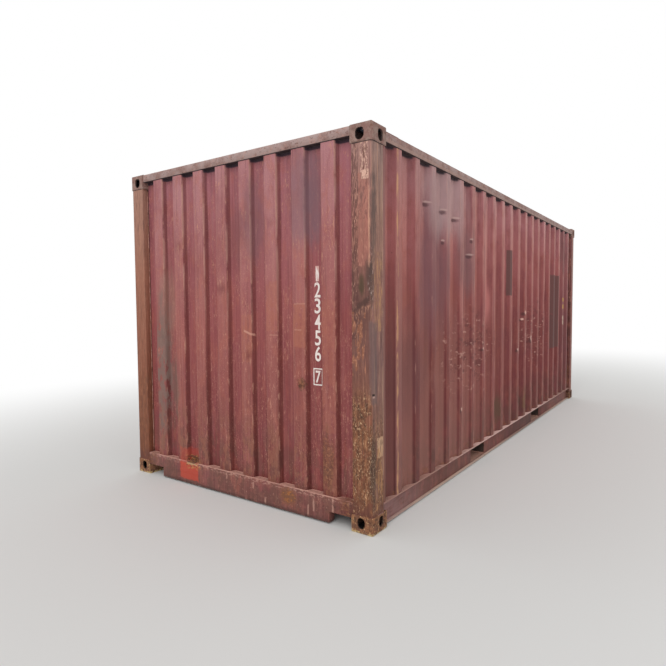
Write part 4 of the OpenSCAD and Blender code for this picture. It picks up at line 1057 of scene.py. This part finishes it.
@made_once
def low_rail_finish():
    """Sill and bottom rails: dull brown red, with painted highlights on the foot, the sill's top and the top
    flange, worn light upper edges, painted shade under the top flange, rusted at the ends
    """
    finish = Finish(0.68)
    above, below, coats = finish.above, finish.below, finish.coats
    low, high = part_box("bottom_rail_right")
    finish.colour = finish.fade(finish.z, 0.01, 0.19, (112, 70, 64), (130, 80, 74))
    weather(finish, 0.22)
    sill = below(finish.x, -2.96, 0.01)
    rail = finish.tree.math("SUBTRACT", 1.0, sill)
    coats(
        # Painted highlight on the sill's top face
        ((206, 156, 142), 0.75, sill, above(finish.z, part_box("front_sill")[1].z - 0.003, 0.0015)),
        ((148, 92, 82), 0.4, sill, (0.05, 0.56, 0.05, 8.4)))
    finish.lay((196, 150, 134), 0.6, sill, above(finish.z, 0.165, 0.012),
               ((0.03, 0.03, 0.012), 0.53, 0.03, 5.8), height=0.4)
    finish.lay((80, 52, 48), 0.6, sill, ((0.020, 0.020, 0.014), 0.62, 0.02, 2.8), height=-0.4)
    finish.lay((196, 150, 136), 0.6, sill, ((0.014, 0.014, 0.020), 0.66, 0.02, 6.8))
    for y, bottom, top in ((-0.745, 0.06, 0.186), (-0.905, 0.09, 0.186), (-0.696, 0.02, 0.10),
                           (-0.30, 0.02, 0.07), (0.10, 0.10, 0.186), (-0.180, 0.11, 0.16)):
        line = finish.end_patch(y - 0.007, y + 0.007, bottom, top, 0.016, 0.003, (0.02, 0.02, 0.05))
        finish.lay((196, 150, 134), 0.6, line, ((0.02, 0.02, 0.05), 0.46, 0.06, 4.7))
    brown = finish.end_smudge(-0.52, 0.12, 0.10, 0.08, 0.04, grain=0.04)
    finish.lay((126, 84, 52), 0.6, brown)
    finish.lay((176, 110, 58), 0.7, brown, ((0.02, 0.02, 0.012), 0.56, 0.03, 3.6))
    finish.tint((206, 190, 184), 0.9, sill, below(finish.y, -0.95, 0.06))
    finish.rust(0.02, 0.6, sill, above(finish.side, 0.97, 0.06), (0.04, 0.50, 0.05))
    finish.lay((74, 50, 46), 0.6, sill, below(finish.z, 0.030, 0.006), (0.08, 0.45, 0.08, 6.7))
    fresh_patch(finish)
    flange = finish.both(rail, above(finish.z, high.z - 0.0052, 0.0005))
    web = finish.both(rail, below(finish.z, high.z - 0.006, 0.0005))
    coats(
        # Painted highlight on the foot, lit from above
        ((206, 180, 164), 0.8, rail, below(finish.z, low.z + 0.0065, 0.001),
         above(finish.side, abs(low.y) + 0.008, 0.002)),
        # Painted highlight on the top flange, brightest towards the middle
        ((176, 138, 126), 0.7, flange),
        ((232, 198, 190), 0.7, flange, finish.side_smudge(0.2, 0, 2.4, 9)),
        ((158, 124, 122), 0.6, web, below(finish.x, -2.35, 0.45), ((0.20, 0.2, 0.03), 0.40, 0.15, 9.3)))
    finish.tint((204, 196, 198), 0.9, web, finish.side_smudge(0.60, 0, 1.5, 9))
    # Painted shadow on the web just under the top flange
    finish.tint((120, 104, 108), 0.8, web, above(finish.z, high.z - 0.030, 0.010))
    finish.rust(0.02, 0.5, web, ((0.12, 0.12, 0.03), 0.64, 0.04, 3.3))
    return finish.done()


@made_once
def casting_finish(level):
    """Cast corner: bare and rusty below, faded paint above, painted shade inside, light on worn edges and
    hole rims
    """
    low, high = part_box("casting_rear_right_" + level)
    if level == "top":
        finish = Finish(0.75, (156, 128, 118))
        place = finish.tree.vector("ABSOLUTE", finish.place)
        finish.coats(
            ((144, 108, 100), 1.0, (0.05, 0.50, 0.08)),
            ((112, 84, 74), 0.6, (0.030, 0.57, 0.05, 3.5)))
        finish.rust(0.015, 0.5, (0.035, 0.64, 0.04, 5.5))
        finish.lay((96, 76, 66), 0.55, finish.edges(low, high, 0.009, place), (0.03, 0.48, 0.08, 1.1))
        inside = (42, 48, 60)
    else:
        finish = Finish(0.75, (148, 100, 70))
        place = finish.tree.vector("ABSOLUTE", finish.place)
        finish.lay((116, 78, 60), 1.0, (0.045, 0.50, 0.08))
        finish.rust((0.015, 0.015, 0.025), 0.7, (0.030, 0.50, 0.05, 5.5))
        finish.coats(
            ((192, 142, 98), 0.6, ((0.012, 0.012, 0.05), 0.60, 0.03, 6.5)),
            ((72, 48, 38), 0.70, ((0.026, 0.026, 0.022), 0.56, 0.03, 9.5)),
            ((222, 186, 138), 0.75, ((0.010, 0.010, 0.018), 0.62, 0.02, 3.5)),
            ((198, 156, 108), 0.55, finish.edges(low, high, 0.008, place),
             finish.below(finish.z, 0.09, 0.02)),
            ((220, 196, 140), 0.85, finish.below(finish.z, 0.014, 0.008), (0.022, 0.50, 0.05, 2.4)))
        finish.tint((198, 190, 200), 0.9, finish.above(finish.x, 0.0, 0.1))
        inside = (26, 22, 24)
    finish.mottle(0.006, 0.16, 0.8)
    # Painted shade inside the holes: dark on the reveals from just behind the outer faces, darker deeper in
    skin, wall = 0.0035, 0.0135
    for depth, colour, amount in ((skin, (66, 52, 48), 0.8), (wall, inside, 0.95)):
        for margin in (Vector((wall, depth, wall)), Vector((depth, wall, wall))):
            finish.lay(colour, amount, finish.patch(
                tuple(low + margin), tuple(high - margin), 0.0, 0.001, at=place))
    return finish.done()


@made_once
def door_finish():
    finish = Finish()
    finish.colour = wall_fade(finish)
    weather(finish, 0.28)
    finish.rust(0.03, 0.6, finish.below(finish.z, 0.30, 0.08), (0.05, 0.57, 0.05, 1.3))
    return finish.done()


@made_once
def underframe_finish():
    """Matt dark underseal with rust, and painted light on the floors just inside the fork pockets' mouths"""
    finish = Finish(0.85, (60, 50, 46))
    low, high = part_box("fork_pocket_front")
    finish.lay((82, 68, 60), 1.0, (0.10, 0.5, 0.1))
    # Painted light on the pocket floors just inside their mouths
    finish.lay((206, 158, 140), 0.85, finish.below(finish.z, low.z + 0.012, 0.001),
               finish.above(finish.z, low.z + 0.003, 0.001), finish.above(finish.side, high.y - 0.20, 0.12))
    finish.mottle(0.012, 0.2, 0.6)
    finish.rust(0.02, 0.7, (0.06, 0.6, 0.04, 3.0))
    return finish.done(0.25)


@made_once
def plywood_finish():
    """Long grain in slow waves under a worn varnish"""
    finish = Finish(0.6, (150, 116, 82))
    finish.lay((122, 90, 62), 1.0, ((0.30, 0.006, 0.02), 0.5, 0.12))
    finish.tint((200, 180, 160), 0.8, ((0.4, 0.12, 0.1), 0.52, 0.1, 2.0))
    finish.mottle(0.01, 0.08, 0.1)
    return finish.done()


@made_once
def gasket_finish():
    finish = Finish(0.75, (40, 40, 41))
    finish.lay((62, 60, 58), 1.0, (0.05, 0.5, 0.1))
    finish.mottle(0.004, 0.12, 0.1)
    return finish.done()


@made_once
def gear_finish():
    """Hot-dipped zinc gone dull, with spangle, white bloom and rust at the joints"""
    finish = Finish(0.48, settings().colours.galvanised)
    finish.metallic = 0.55
    finish.lay((172, 172, 168), 1.0, (0.012, 0.5, 0.08))
    finish.mottle(0.004, 0.08, 0.2)
    finish.lay((186, 184, 178), 0.5, (0.05, 0.55, 0.06, 2.0), roughness=0.7, metallic=0.1)
    finish.lay((140, 90, 62), 0.8, ((0.05, 0.05, 0.09), 0.58, 0.04, 6.0), roughness=0.85, metallic=0.0)
    return finish.done(0.5)


@made_once
def digit_finish():
    """White paint, chipped a little, and worn thin on the top digit"""
    finish = Finish(0.6, settings().colours.digits)
    finish.coats(
        ((232, 214, 206), 1.0, ((0.02, 0.02, 0.04), 0.56, 0.10)),
        ((196, 120, 112), 0.7, finish.above(finish.z, 1.62, 0.02), ((0.01, 0.01, 0.05), 0.44, 0.10, 3.0)),
        ((160, 96, 92), 0.7, ((0.006, 0.006, 0.010), 0.66, 0.02, 1.4)))
    return finish.done()


# Pieces


# Place from the blind end or from the middle, height, radius and depth of each dent
SIDE_DENTS = (
    (0.849, 2.205, 0.034, 0.012), (1.134, 2.187, 0.034, 0.012), (1.389, 2.157, 0.034, 0.012),
    (1.709, 1.876, 0.040, 0.014), (2.069, 1.050, 0.060, 0.010), (3.729, 1.050, 0.060, 0.012),
    (0.930, 0.900, 0.090, 0.008), (2.150, 1.250, 0.120, 0.008), (3.300, 0.800, 0.140, 0.010),
    (4.350, 1.500, 0.120, 0.008),
)
FRONT_DENTS = (
    (0.82, 1.20, 0.06, 0.010), (0.62, 1.95, 0.05, 0.006), (-0.14, 1.10, 0.05, 0.007),
    (-0.64, 0.92, 0.03, 0.007), (0.13, 1.60, 0.06, 0.006), (-0.38, 2.05, 0.05, 0.005),
)
NOTCH = 2e-4                # half the width over which a sheet's edge steps down under a casting
FOLDED = (0.73, 0.90)       # part of a side wall's height that has the folds, and closer rows for them
FLOOR_REACH = 40.0          # from the container's middle to the edge of the stage's floor


def side_ribs():
    """First crest, pitch, number of crests, crest, slope and bend of a side wall"""
    sizes = settings().side_wall
    first = CAD_BOX[0][0] + sizes.first_crest
    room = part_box("side_wall_left")[1].x - first - sizes.crest / 2 - sizes.slope
    return first, sizes.pitch, int(room / sizes.pitch) + 1, sizes.crest, sizes.slope, sizes.bend


def front_ribs():
    """First crest, pitch, number of crests, crest, slope and bend of the end wall"""
    sizes = settings().front_wall
    first = -sizes.pitch * (sizes.crests - 1) / 2
    return first, sizes.pitch, sizes.crests, sizes.crest, sizes.slope, sizes.bend


def roof_ribs():
    """First pan, pitch, number of pans, crest, slope and bend: pans spread evenly over the roof"""
    sizes = settings().roof
    span = CAD_BOX[1][0] - sizes.end_margin + sizes.pitch
    parts = math.ceil(2 * span / sizes.pitch)
    pitch = 2 * span / parts
    return pitch - span, pitch, parts - 1, sizes.crest, sizes.slope, sizes.bend


def side_wall_depth(x, z, places=()):
    """How far the side wall's face lies behind its crest plane: the lesser of the ribs and of the rounded
    ramp off the strip beside the post, times depth, plus slow waves and the dents at some places"""
    sizes = settings().side_wall
    strip = rounded_ramp(
        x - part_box("side_wall_left")[0].x, sizes.strip, sizes.slope, min(sizes.bend, sizes.strip / 4))
    rib = sizes.depth * np.minimum(ribs(x, *side_ribs()), strip)
    wave = 0.0014 * hills(x, z, 0.19, 0.42, 11) + 0.0008 * hills(x, z, 0.07, 0.16, 12) + 0.0022
    return rib + wave + dents(x - CAD_BOX[0][0], z, places)


def front_wall_depth(y, z):
    """How far the end wall's face lies behind its crest plane: ribs times depth, plus slow waves and dents"""
    sizes = settings().front_wall
    inner = smooth((1.03 - np.abs(y)) / 0.04)
    stray = 0.7 * hills(y, z, 0.12, 0.30, 21) + 0.5 * hills(y, z, 0.09, 0.11, 22)
    moved = y + inner * sizes.wander * stray
    wave = 0.0012 * hills(y, z, 0.16, 0.35, 23) + 0.0007 * hills(y, z, 0.06, 0.12, 24) + 0.0020
    return sizes.depth * ribs(moved, *front_ribs()) + wave + dents(y, z, FRONT_DENTS)


class CONTAINER_OT_side_walls(Operator):
    """Two long walls of rounded ribs, beaten and dented, with the thickness of the sheet"""
    bl_idname = "container.side_walls"
    bl_label = "Side walls"

    def execute(self, context):
        sizes = settings().side_wall
        notch_x, notch_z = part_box("casting_front_left_top")[1].x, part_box("casting_front_left_top")[0].z
        share = np.unique(np.concatenate([np.linspace(0, 1, 46), np.linspace(*FOLDED, 32)]))[:, None]
        for side in SIDES:
            node = "side_wall_" + side
            low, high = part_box(node)
            turns = [low.x + start + step for start in (sizes.strip, sizes.strip + sizes.slope)
                     for step in np.linspace(-sizes.bend, sizes.bend, 5)]
            x = np.unique(np.concatenate([
                rib_stations(low.x, high.x, *side_ribs()), turns, [notch_x - NOTCH, notch_x + NOTCH]]))
            z = low.z + share * (np.where(x < notch_x, notch_z, high.z) - low.z)
            y = max(abs(low.y), abs(high.y)) - side_wall_depth(x, z, SIDE_DENTS if side == "left" else ())
            add_sheet(node, "side_wall_paint", side_wall_finish(),
                      points_of(x, -y if side == "left" else y, z), side == "right")
        return {"FINISHED"}


class CONTAINER_OT_front_wall(Operator):
    """Blind end wall of deep ribs with uneven edges"""
    bl_idname = "container.front_wall"
    bl_label = "Front wall"

    def execute(self, context):
        low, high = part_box("front_wall")
        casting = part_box("casting_front_left_top")
        notch_y, notch_z = abs(casting[1].y), casting[0].z
        notch = [side * (notch_y + step) for side in (-1, 1) for step in (-NOTCH, NOTCH)]
        y = np.sort(np.append(rib_stations(low.y, high.y, *front_ribs()), notch))
        share = np.linspace(0, 1, 110)[:, None]
        z = low.z + share * (np.where(np.abs(y) > notch_y, notch_z, high.z) - low.z)
        add_sheet("front_wall", "front_wall_paint", front_wall_finish(),
                  points_of(low.x + front_wall_depth(y, z), y, z), True)
        return {"FINISHED"}


class CONTAINER_OT_roof(Operator):
    """Roof sheet with its pressed pans, and the plates beside the top castings"""
    bl_idname = "container.roof"
    bl_label = "Roof"

    def execute(self, context):
        """A pan's height is one less the ribs along, times the same ramp at both ends, times the depth"""
        sizes = settings().roof
        low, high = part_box("roof_panel")
        flat_z = low.z + settings().side_wall.sheet
        reach = high.y - sizes.side_margin
        half = np.concatenate([
            np.linspace(0, reach - 0.05, 9)[:-1], np.linspace(reach - 0.05, reach + 0.01, 9), [high.y]])
        x, y = np.meshgrid(
            rib_stations(low.x, high.x, *roof_ribs()), np.concatenate([-half[:0:-1], half]))
        ends = 1 - rounded_ramp(np.abs(y), reach - sizes.slope, sizes.slope, sizes.bend)
        pans = (high.z - flat_z) * (1 - ribs(x, *roof_ribs())) * ends
        sag = 0.0016 * hills(x, y, 0.4, 0.5, 31) + 0.0008 * hills(x, y, 0.12, 0.15, 32) - 0.0024
        z = flat_z + pans + sag * smooth((reach - np.abs(y)) / 0.1)
        add_sheet("roof_panel", "roof_paint", roof_finish(), points_of(x, y, z))
        for node in ("header_plates", "roof_corner_plates"):
            softened(node, "roof_paint", roof_finish(), 0.001)
        return {"FINISHED"}


class CONTAINER_OT_doors(Operator):
    """Door panels of rounded ribs in worn frames, with seals, hinges and gear"""
    bl_idname = "container.doors"
    bl_label = "Doors"

    def execute(self, context):
        sizes = settings().door
        for side in SIDES:
            node = "door_panel_" + side
            low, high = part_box(node)
            pitch = (high.z - low.z) / sizes.crests
            values = (low.z + pitch / 2, pitch, sizes.crests, sizes.crest, sizes.slope, sizes.bend)
            y, z = np.meshgrid(np.linspace(low.y, high.y, 22), rib_stations(low.z, high.z, *values))
            rib = (high.x - low.x - settings().side_wall.sheet) * ribs(z, *values)
            x = high.x - rib - 0.0016 - 0.0012 * hills(y, z, 0.25, 0.3, 41)
            add_sheet(node, "door_paint", door_finish(), points_of(x, y, z))
            softened("door_frame_" + side, "door_paint", door_finish(), 0.002)
            softened("door_hinges_" + side, "door_paint", door_finish(), 0.0015)
            dress(gasket_finish(), "door_gasket_" + side)
            softened("bar_brackets_" + side, "galvanised_gear", gear_finish(), 0.001)
            softened("locking_bars_" + side, "galvanised_gear", gear_finish(), 0.0015)
        for node in ("door_handles", "handle_retainers", "cam_keepers"):
            softened(node, "galvanised_gear", gear_finish(), 0.0012)
        for node in ("door_header", "door_sill"):
            softened(node, "door_paint", door_finish(), 0.002)
        return {"FINISHED"}


class CONTAINER_OT_frame_parts(Operator):
    """Castings, posts, rails and sills with worn edges, and the floor and its bearers"""
    bl_idname = "container.frame_parts"
    bl_label = "Frame"

    def execute(self, context):
        for level in LEVELS:
            for end in ENDS:
                for side in SIDES:
                    node = "casting_%s_%s_%s" % (end, side, level)
                    softened(node, "casting_steel", casting_finish(level), 0.0025)
        for side in SIDES:
            softened("post_front_" + side, "front_post_paint", front_post_finish(), 0.0015)
            softened("post_rear_" + side, "rear_post_paint", rear_post_finish(), 0.0015)
            softened("top_rail_" + side, "rail_paint", top_rail_finish(), 0.003)
            softened("bottom_rail_" + side, "rail_paint", low_rail_finish(), 0.0012)
        softened("front_header", "rail_paint", top_rail_finish(), 0.003)
        softened("front_sill", "rail_paint", low_rail_finish(), 0.0012)
        dress(underframe_finish(), "cross_members", "fork_pocket_front", "fork_pocket_rear")
        dress(plywood_finish(), "floor_boards")
        return {"FINISHED"}


class CONTAINER_OT_weld_beads(Operator):
    """Weld beads along the walls, the posts and the castings"""
    bl_idname = "container.weld_beads"
    bl_label = "Weld beads"

    def execute(self, context):
        """Paths of points 8 to 20 mm apart, which start short of the corners and are sunk a little"""
        side_low, side_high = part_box("side_wall_left")
        front_low, front_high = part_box("front_wall")
        post_low, post_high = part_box("post_front_left")
        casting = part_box("casting_front_left_bottom")[1]
        short, sunk, radius = 0.004, 0.001, 0.024
        x = np.arange(side_low.x + short, side_high.x - short, 0.012)
        y = np.arange(front_low.y + short, front_high.y - short, 0.008)
        by_casting = x[x > casting.x + 0.01], y[np.abs(y) < abs(casting.y) - 0.06]
        beads = {"low": [], "high": []}
        for level, (x, y), side_z, front_z in (("low", (x, y), side_low.z, front_low.z),
                                               ("high", by_casting, side_high.z, front_high.z)):
            side_y = side_low.y + side_wall_depth(x, side_z) - sunk
            beads[level] += [points_of(x, side_y, side_z), points_of(x, -side_y, side_z),
                             points_of(front_low.x + front_wall_depth(y, front_z) - sunk, y, front_z)]
        up = np.arange(front_low.z + 0.01, post_high.z - 0.01, 0.02)
        trough_x = front_low.x + settings().front_wall.depth
        turn = np.linspace(0, math.pi / 2, 9)
        x = np.concatenate([np.linspace(post_high.x, post_low.x + radius, 12)[:-1],
                            post_low.x + radius * (1 - np.sin(turn)), np.full(12, post_low.x)])
        y = np.concatenate([np.full(11, post_low.y), post_low.y + radius * (1 - np.cos(turn)),
                            np.linspace(post_low.y + radius, post_high.y, 13)[1:]])
        for flip in (1, -1):
            beads["low"] += [
                points_of(trough_x, flip * front_low.y, up),
                points_of(side_low.x, flip * (side_low.y + settings().side_wall.strip), up),
                points_of(x, flip * y, post_low.z)]
            beads["high"].append(points_of(x, flip * y, post_high.z))
        for level, finish in (("low", low_rail_finish()), ("high", top_rail_finish())):
            name = level + "_weld_beads"
            add_piece(name, tubes_mesh(name, beads[level], settings().side_wall.bead), "rail_paint", finish)
        return {"FINISHED"}


def digit_points(text, width, height):
    """Points and faces of one character, fitted to a width and a height about the origin"""
    curve = bpy.data.curves.new("digit", "FONT")
    curve.body = text
    curve.resolution_u = 6
    curve.offset = settings().marks.stroke
    curve.extrude = 0.004
    carrier = bpy.data.objects.new("digit", curve)
    bpy.context.scene.collection.objects.link(carrier)
    bpy.context.view_layer.update()
    mesh = bpy.data.meshes.new_from_object(carrier.evaluated_get(bpy.context.evaluated_depsgraph_get()))
    bpy.data.objects.remove(carrier)
    points = np.zeros(len(mesh.vertices) * 3)
    mesh.vertices.foreach_get("co", points)
    points = points.reshape(-1, 3)
    low, high = points.min(axis=0), points.max(axis=0)
    narrow = 0.55 if text == "1" else 1.0
    points = (points - (low + high) / 2) / (high - low) * (width * narrow, height, 1.0)
    return points, [list(face.vertices) for face in mesh.polygons]


def frame_points(width, height, line):
    """Points and faces of a flat rectangular ring with a thickness of 1: its outer outline has 10 points a
    side, and the inner one is the same, drawn in by the line's width"""
    corners = np.array([(-1, -1), (1, -1), (1, 1), (-1, 1)]) / 2
    steps = np.linspace(0, 1, 10, endpoint=False)[:, None]
    outline = np.concatenate([a + steps * (b - a) for a, b in zip(corners, np.roll(corners, -1, axis=0))])
    count = len(outline)
    flat = np.concatenate([outline * (width, height), outline * (width - 2 * line, height - 2 * line)])
    points = np.concatenate([np.c_[flat, np.full(2 * count, level)] for level in (-0.5, 0.5)])
    here = np.arange(count)
    ahead = np.roll(here, -1)
    low_out, low_in, high_out, high_in = np.arange(4) * count
    bands = ((high_out, high_in), (low_in, low_out), (low_out, high_out), (high_in, low_in))
    faces = np.concatenate([
        np.stack([here + first, ahead + first, ahead + second, here + second], axis=1)
        for first, second in bands])
    return points, faces.tolist()


class CONTAINER_OT_numbers(Operator):
    """A column of plain painted digits, with a frame round the last"""
    bl_idname = "container.numbers"
    bl_label = "Numbers"

    def execute(self, context):
        marks = settings().marks
        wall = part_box("front_wall")[0].x
        width, height = marks.digit_width, marks.digit_height
        shapes = [(marks.first_height - i * marks.spacing, *digit_points(text, width, height))
                  for i, text in enumerate(marks.digits)]
        shapes += [
            (marks.frame_height, *digit_points(marks.boxed_digit, 0.85 * width, 0.82 * height)),
            (marks.frame_height, *frame_points(marks.frame_width, marks.frame_length, marks.frame_line))]
        points, faces = [], []
        for height, shape, shape_faces in shapes:
            y = marks.column - shape[:, 0]
            z = height + shape[:, 1]
            x = wall + front_wall_depth(y, z) - marks.film * (0.75 + 0.5 * shape[:, 2])
            start = sum(len(part) for part in points)
            points.append(points_of(x, y, z))
            faces += [[start + corner for corner in face] for face in shape_faces]
        mesh = new_mesh("painted_numbers", np.concatenate(points), faces, False)
        cleaned(mesh, 1e-6)
        add_piece("painted_numbers", mesh, "front_wall_paint", digit_finish())
        return {"FINISHED"}


class CONTAINER_OT_stage(Operator):
    """Pale floor, soft light and the camera"""
    bl_idname = "container.stage"
    bl_label = "Stage"

    def execute(self, context):
        stage = settings().stage
        scene = context.scene
        corners = np.array([(-1, -1, 0), (1, -1, 0), (-1, 1, 0), (1, 1, 0)]) * FLOOR_REACH - (0, 0, 0.0005)
        mesh = sheet_mesh("floor", corners.reshape(2, 2, 3))
        mesh.materials.append(self.floor_material(stage.floor))
        floor = bpy.data.objects.new("floor", mesh)
        scene.collection.objects.link(floor)
        self.light_world(scene, stage.sky)
        sun = bpy.data.lights.new("key_light", "SUN")
        sun.energy = stage.sun
        sun.angle = stage.spread
        lamp = bpy.data.objects.new("key_light", sun)
        lamp.rotation_euler = Vector((-0.74, -0.34, 0.60)).to_track_quat("Z", "Y").to_euler()
        scene.collection.objects.link(lamp)
        self.place_camera(scene, stage)
        scene.view_settings.view_transform = "Standard"
        return {"FINISHED"}

    def floor_material(self, colour):
        """Pale floor that fades to plain white away from the container, for the eye alone"""
        material = bpy.data.materials.new("pale_floor")
        tree = Tree.emptied(material)
        place = tree.node("TexCoord").outputs["Object"]
        distance = tree.vector("LENGTH", tree.vector("MULTIPLY", place, (0.55, 1.0, 0.0)))
        rays = tree.node("LightPath").outputs
        seen = tree.math("MAXIMUM", rays["Is Camera Ray"], tree.math(
            "MAXIMUM", rays["Is Glossy Ray"], rays["Is Transmission Ray"]))
        surface = tree.node("BsdfPrincipled")
        tree.feed(surface.inputs["Base Color"], colour)
        surface.inputs["Roughness"].default_value = 0.9
        white = tree.node("Emission")
        share = tree.math("MULTIPLY", tree.step(distance, 2.4, 7.5), seen)
        blend = tree.filled(tree.node("MixShader"), share, surface.outputs[0], white.outputs[0])
        tree.filled(tree.node("OutputMaterial"), blend[0])
        return material

    def light_world(self, scene, strength):
        """Even light from all round, which the eye sees as white"""
        scene.world = bpy.data.worlds.new("studio")
        tree = Tree.emptied(scene.world)
        rays = tree.node("LightPath").outputs
        seen = tree.math("MAXIMUM", rays["Is Camera Ray"], rays["Is Transmission Ray"])
        light = tree.filled(tree.node("Background"), (1, 1, 1), tree.blend_values(seen, strength, 1.0))
        tree.filled(tree.node("OutputWorld"), light[0])

    def place_camera(self, scene, stage):
        ahead = Vector((
            math.cos(stage.yaw) * math.cos(stage.pitch), math.sin(stage.yaw) * math.cos(stage.pitch),
            -math.sin(stage.pitch)))
        level = Vector((math.sin(stage.yaw), -math.cos(stage.yaw), 0))
        right = math.cos(stage.roll) * level + math.sin(stage.roll) * level.cross(ahead)
        camera = bpy.data.cameras.new("camera")
        camera.lens = stage.focal_length
        camera.sensor_width = 36
        camera.clip_end = 200
        carrier = bpy.data.objects.new("camera", camera)
        turn = Matrix((right, right.cross(ahead), -ahead)).transposed()
        carrier.matrix_world = Matrix.Translation(stage.place) @ turn.to_4x4()
        scene.collection.objects.link(carrier)
        scene.camera = carrier


class CONTAINER_PT_panel(Panel):
    """Lists the sizes and the steps of the container"""
    bl_label = "Container"
    bl_idname = "CONTAINER_PT_panel"
    bl_space_type = "VIEW_3D"
    bl_region_type = "UI"
    bl_category = "Container"

    def draw(self, context):
        layout = self.layout
        for group_name in ContainerSettings.__annotations__:
            group = getattr(context.scene.container, group_name)
            box = layout.box()
            box.label(text=group_name.replace("_", " ").capitalize())
            for size_name in type(group).__annotations__:
                box.prop(group, size_name)
        for operator in OPERATORS:
            layout.operator(operator.bl_idname)


OPERATORS = (
    CONTAINER_OT_stage, CONTAINER_OT_frame_parts, CONTAINER_OT_side_walls, CONTAINER_OT_front_wall,
    CONTAINER_OT_roof, CONTAINER_OT_doors, CONTAINER_OT_weld_beads, CONTAINER_OT_numbers,
)
CLASSES = (
    SideWallSizes, FrontWallSizes, RoofSizes, DoorSizes, PaintColours, MarkSizes, StageSettings,
    ContainerSettings, *OPERATORS, CONTAINER_PT_panel,
)


def register():
    for cls in CLASSES:
        bpy.utils.register_class(cls)
    bpy.types.Scene.container = PointerProperty(type=ContainerSettings)


def unregister():
    del bpy.types.Scene.container
    for cls in reversed(CLASSES):
        bpy.utils.unregister_class(cls)


def main():
    """Builds everything"""
    register()
    for operator in OPERATORS:
        area, name = operator.bl_idname.split(".")
        getattr(getattr(bpy.ops, area), name)()


if __name__ == "__main__":
    main()
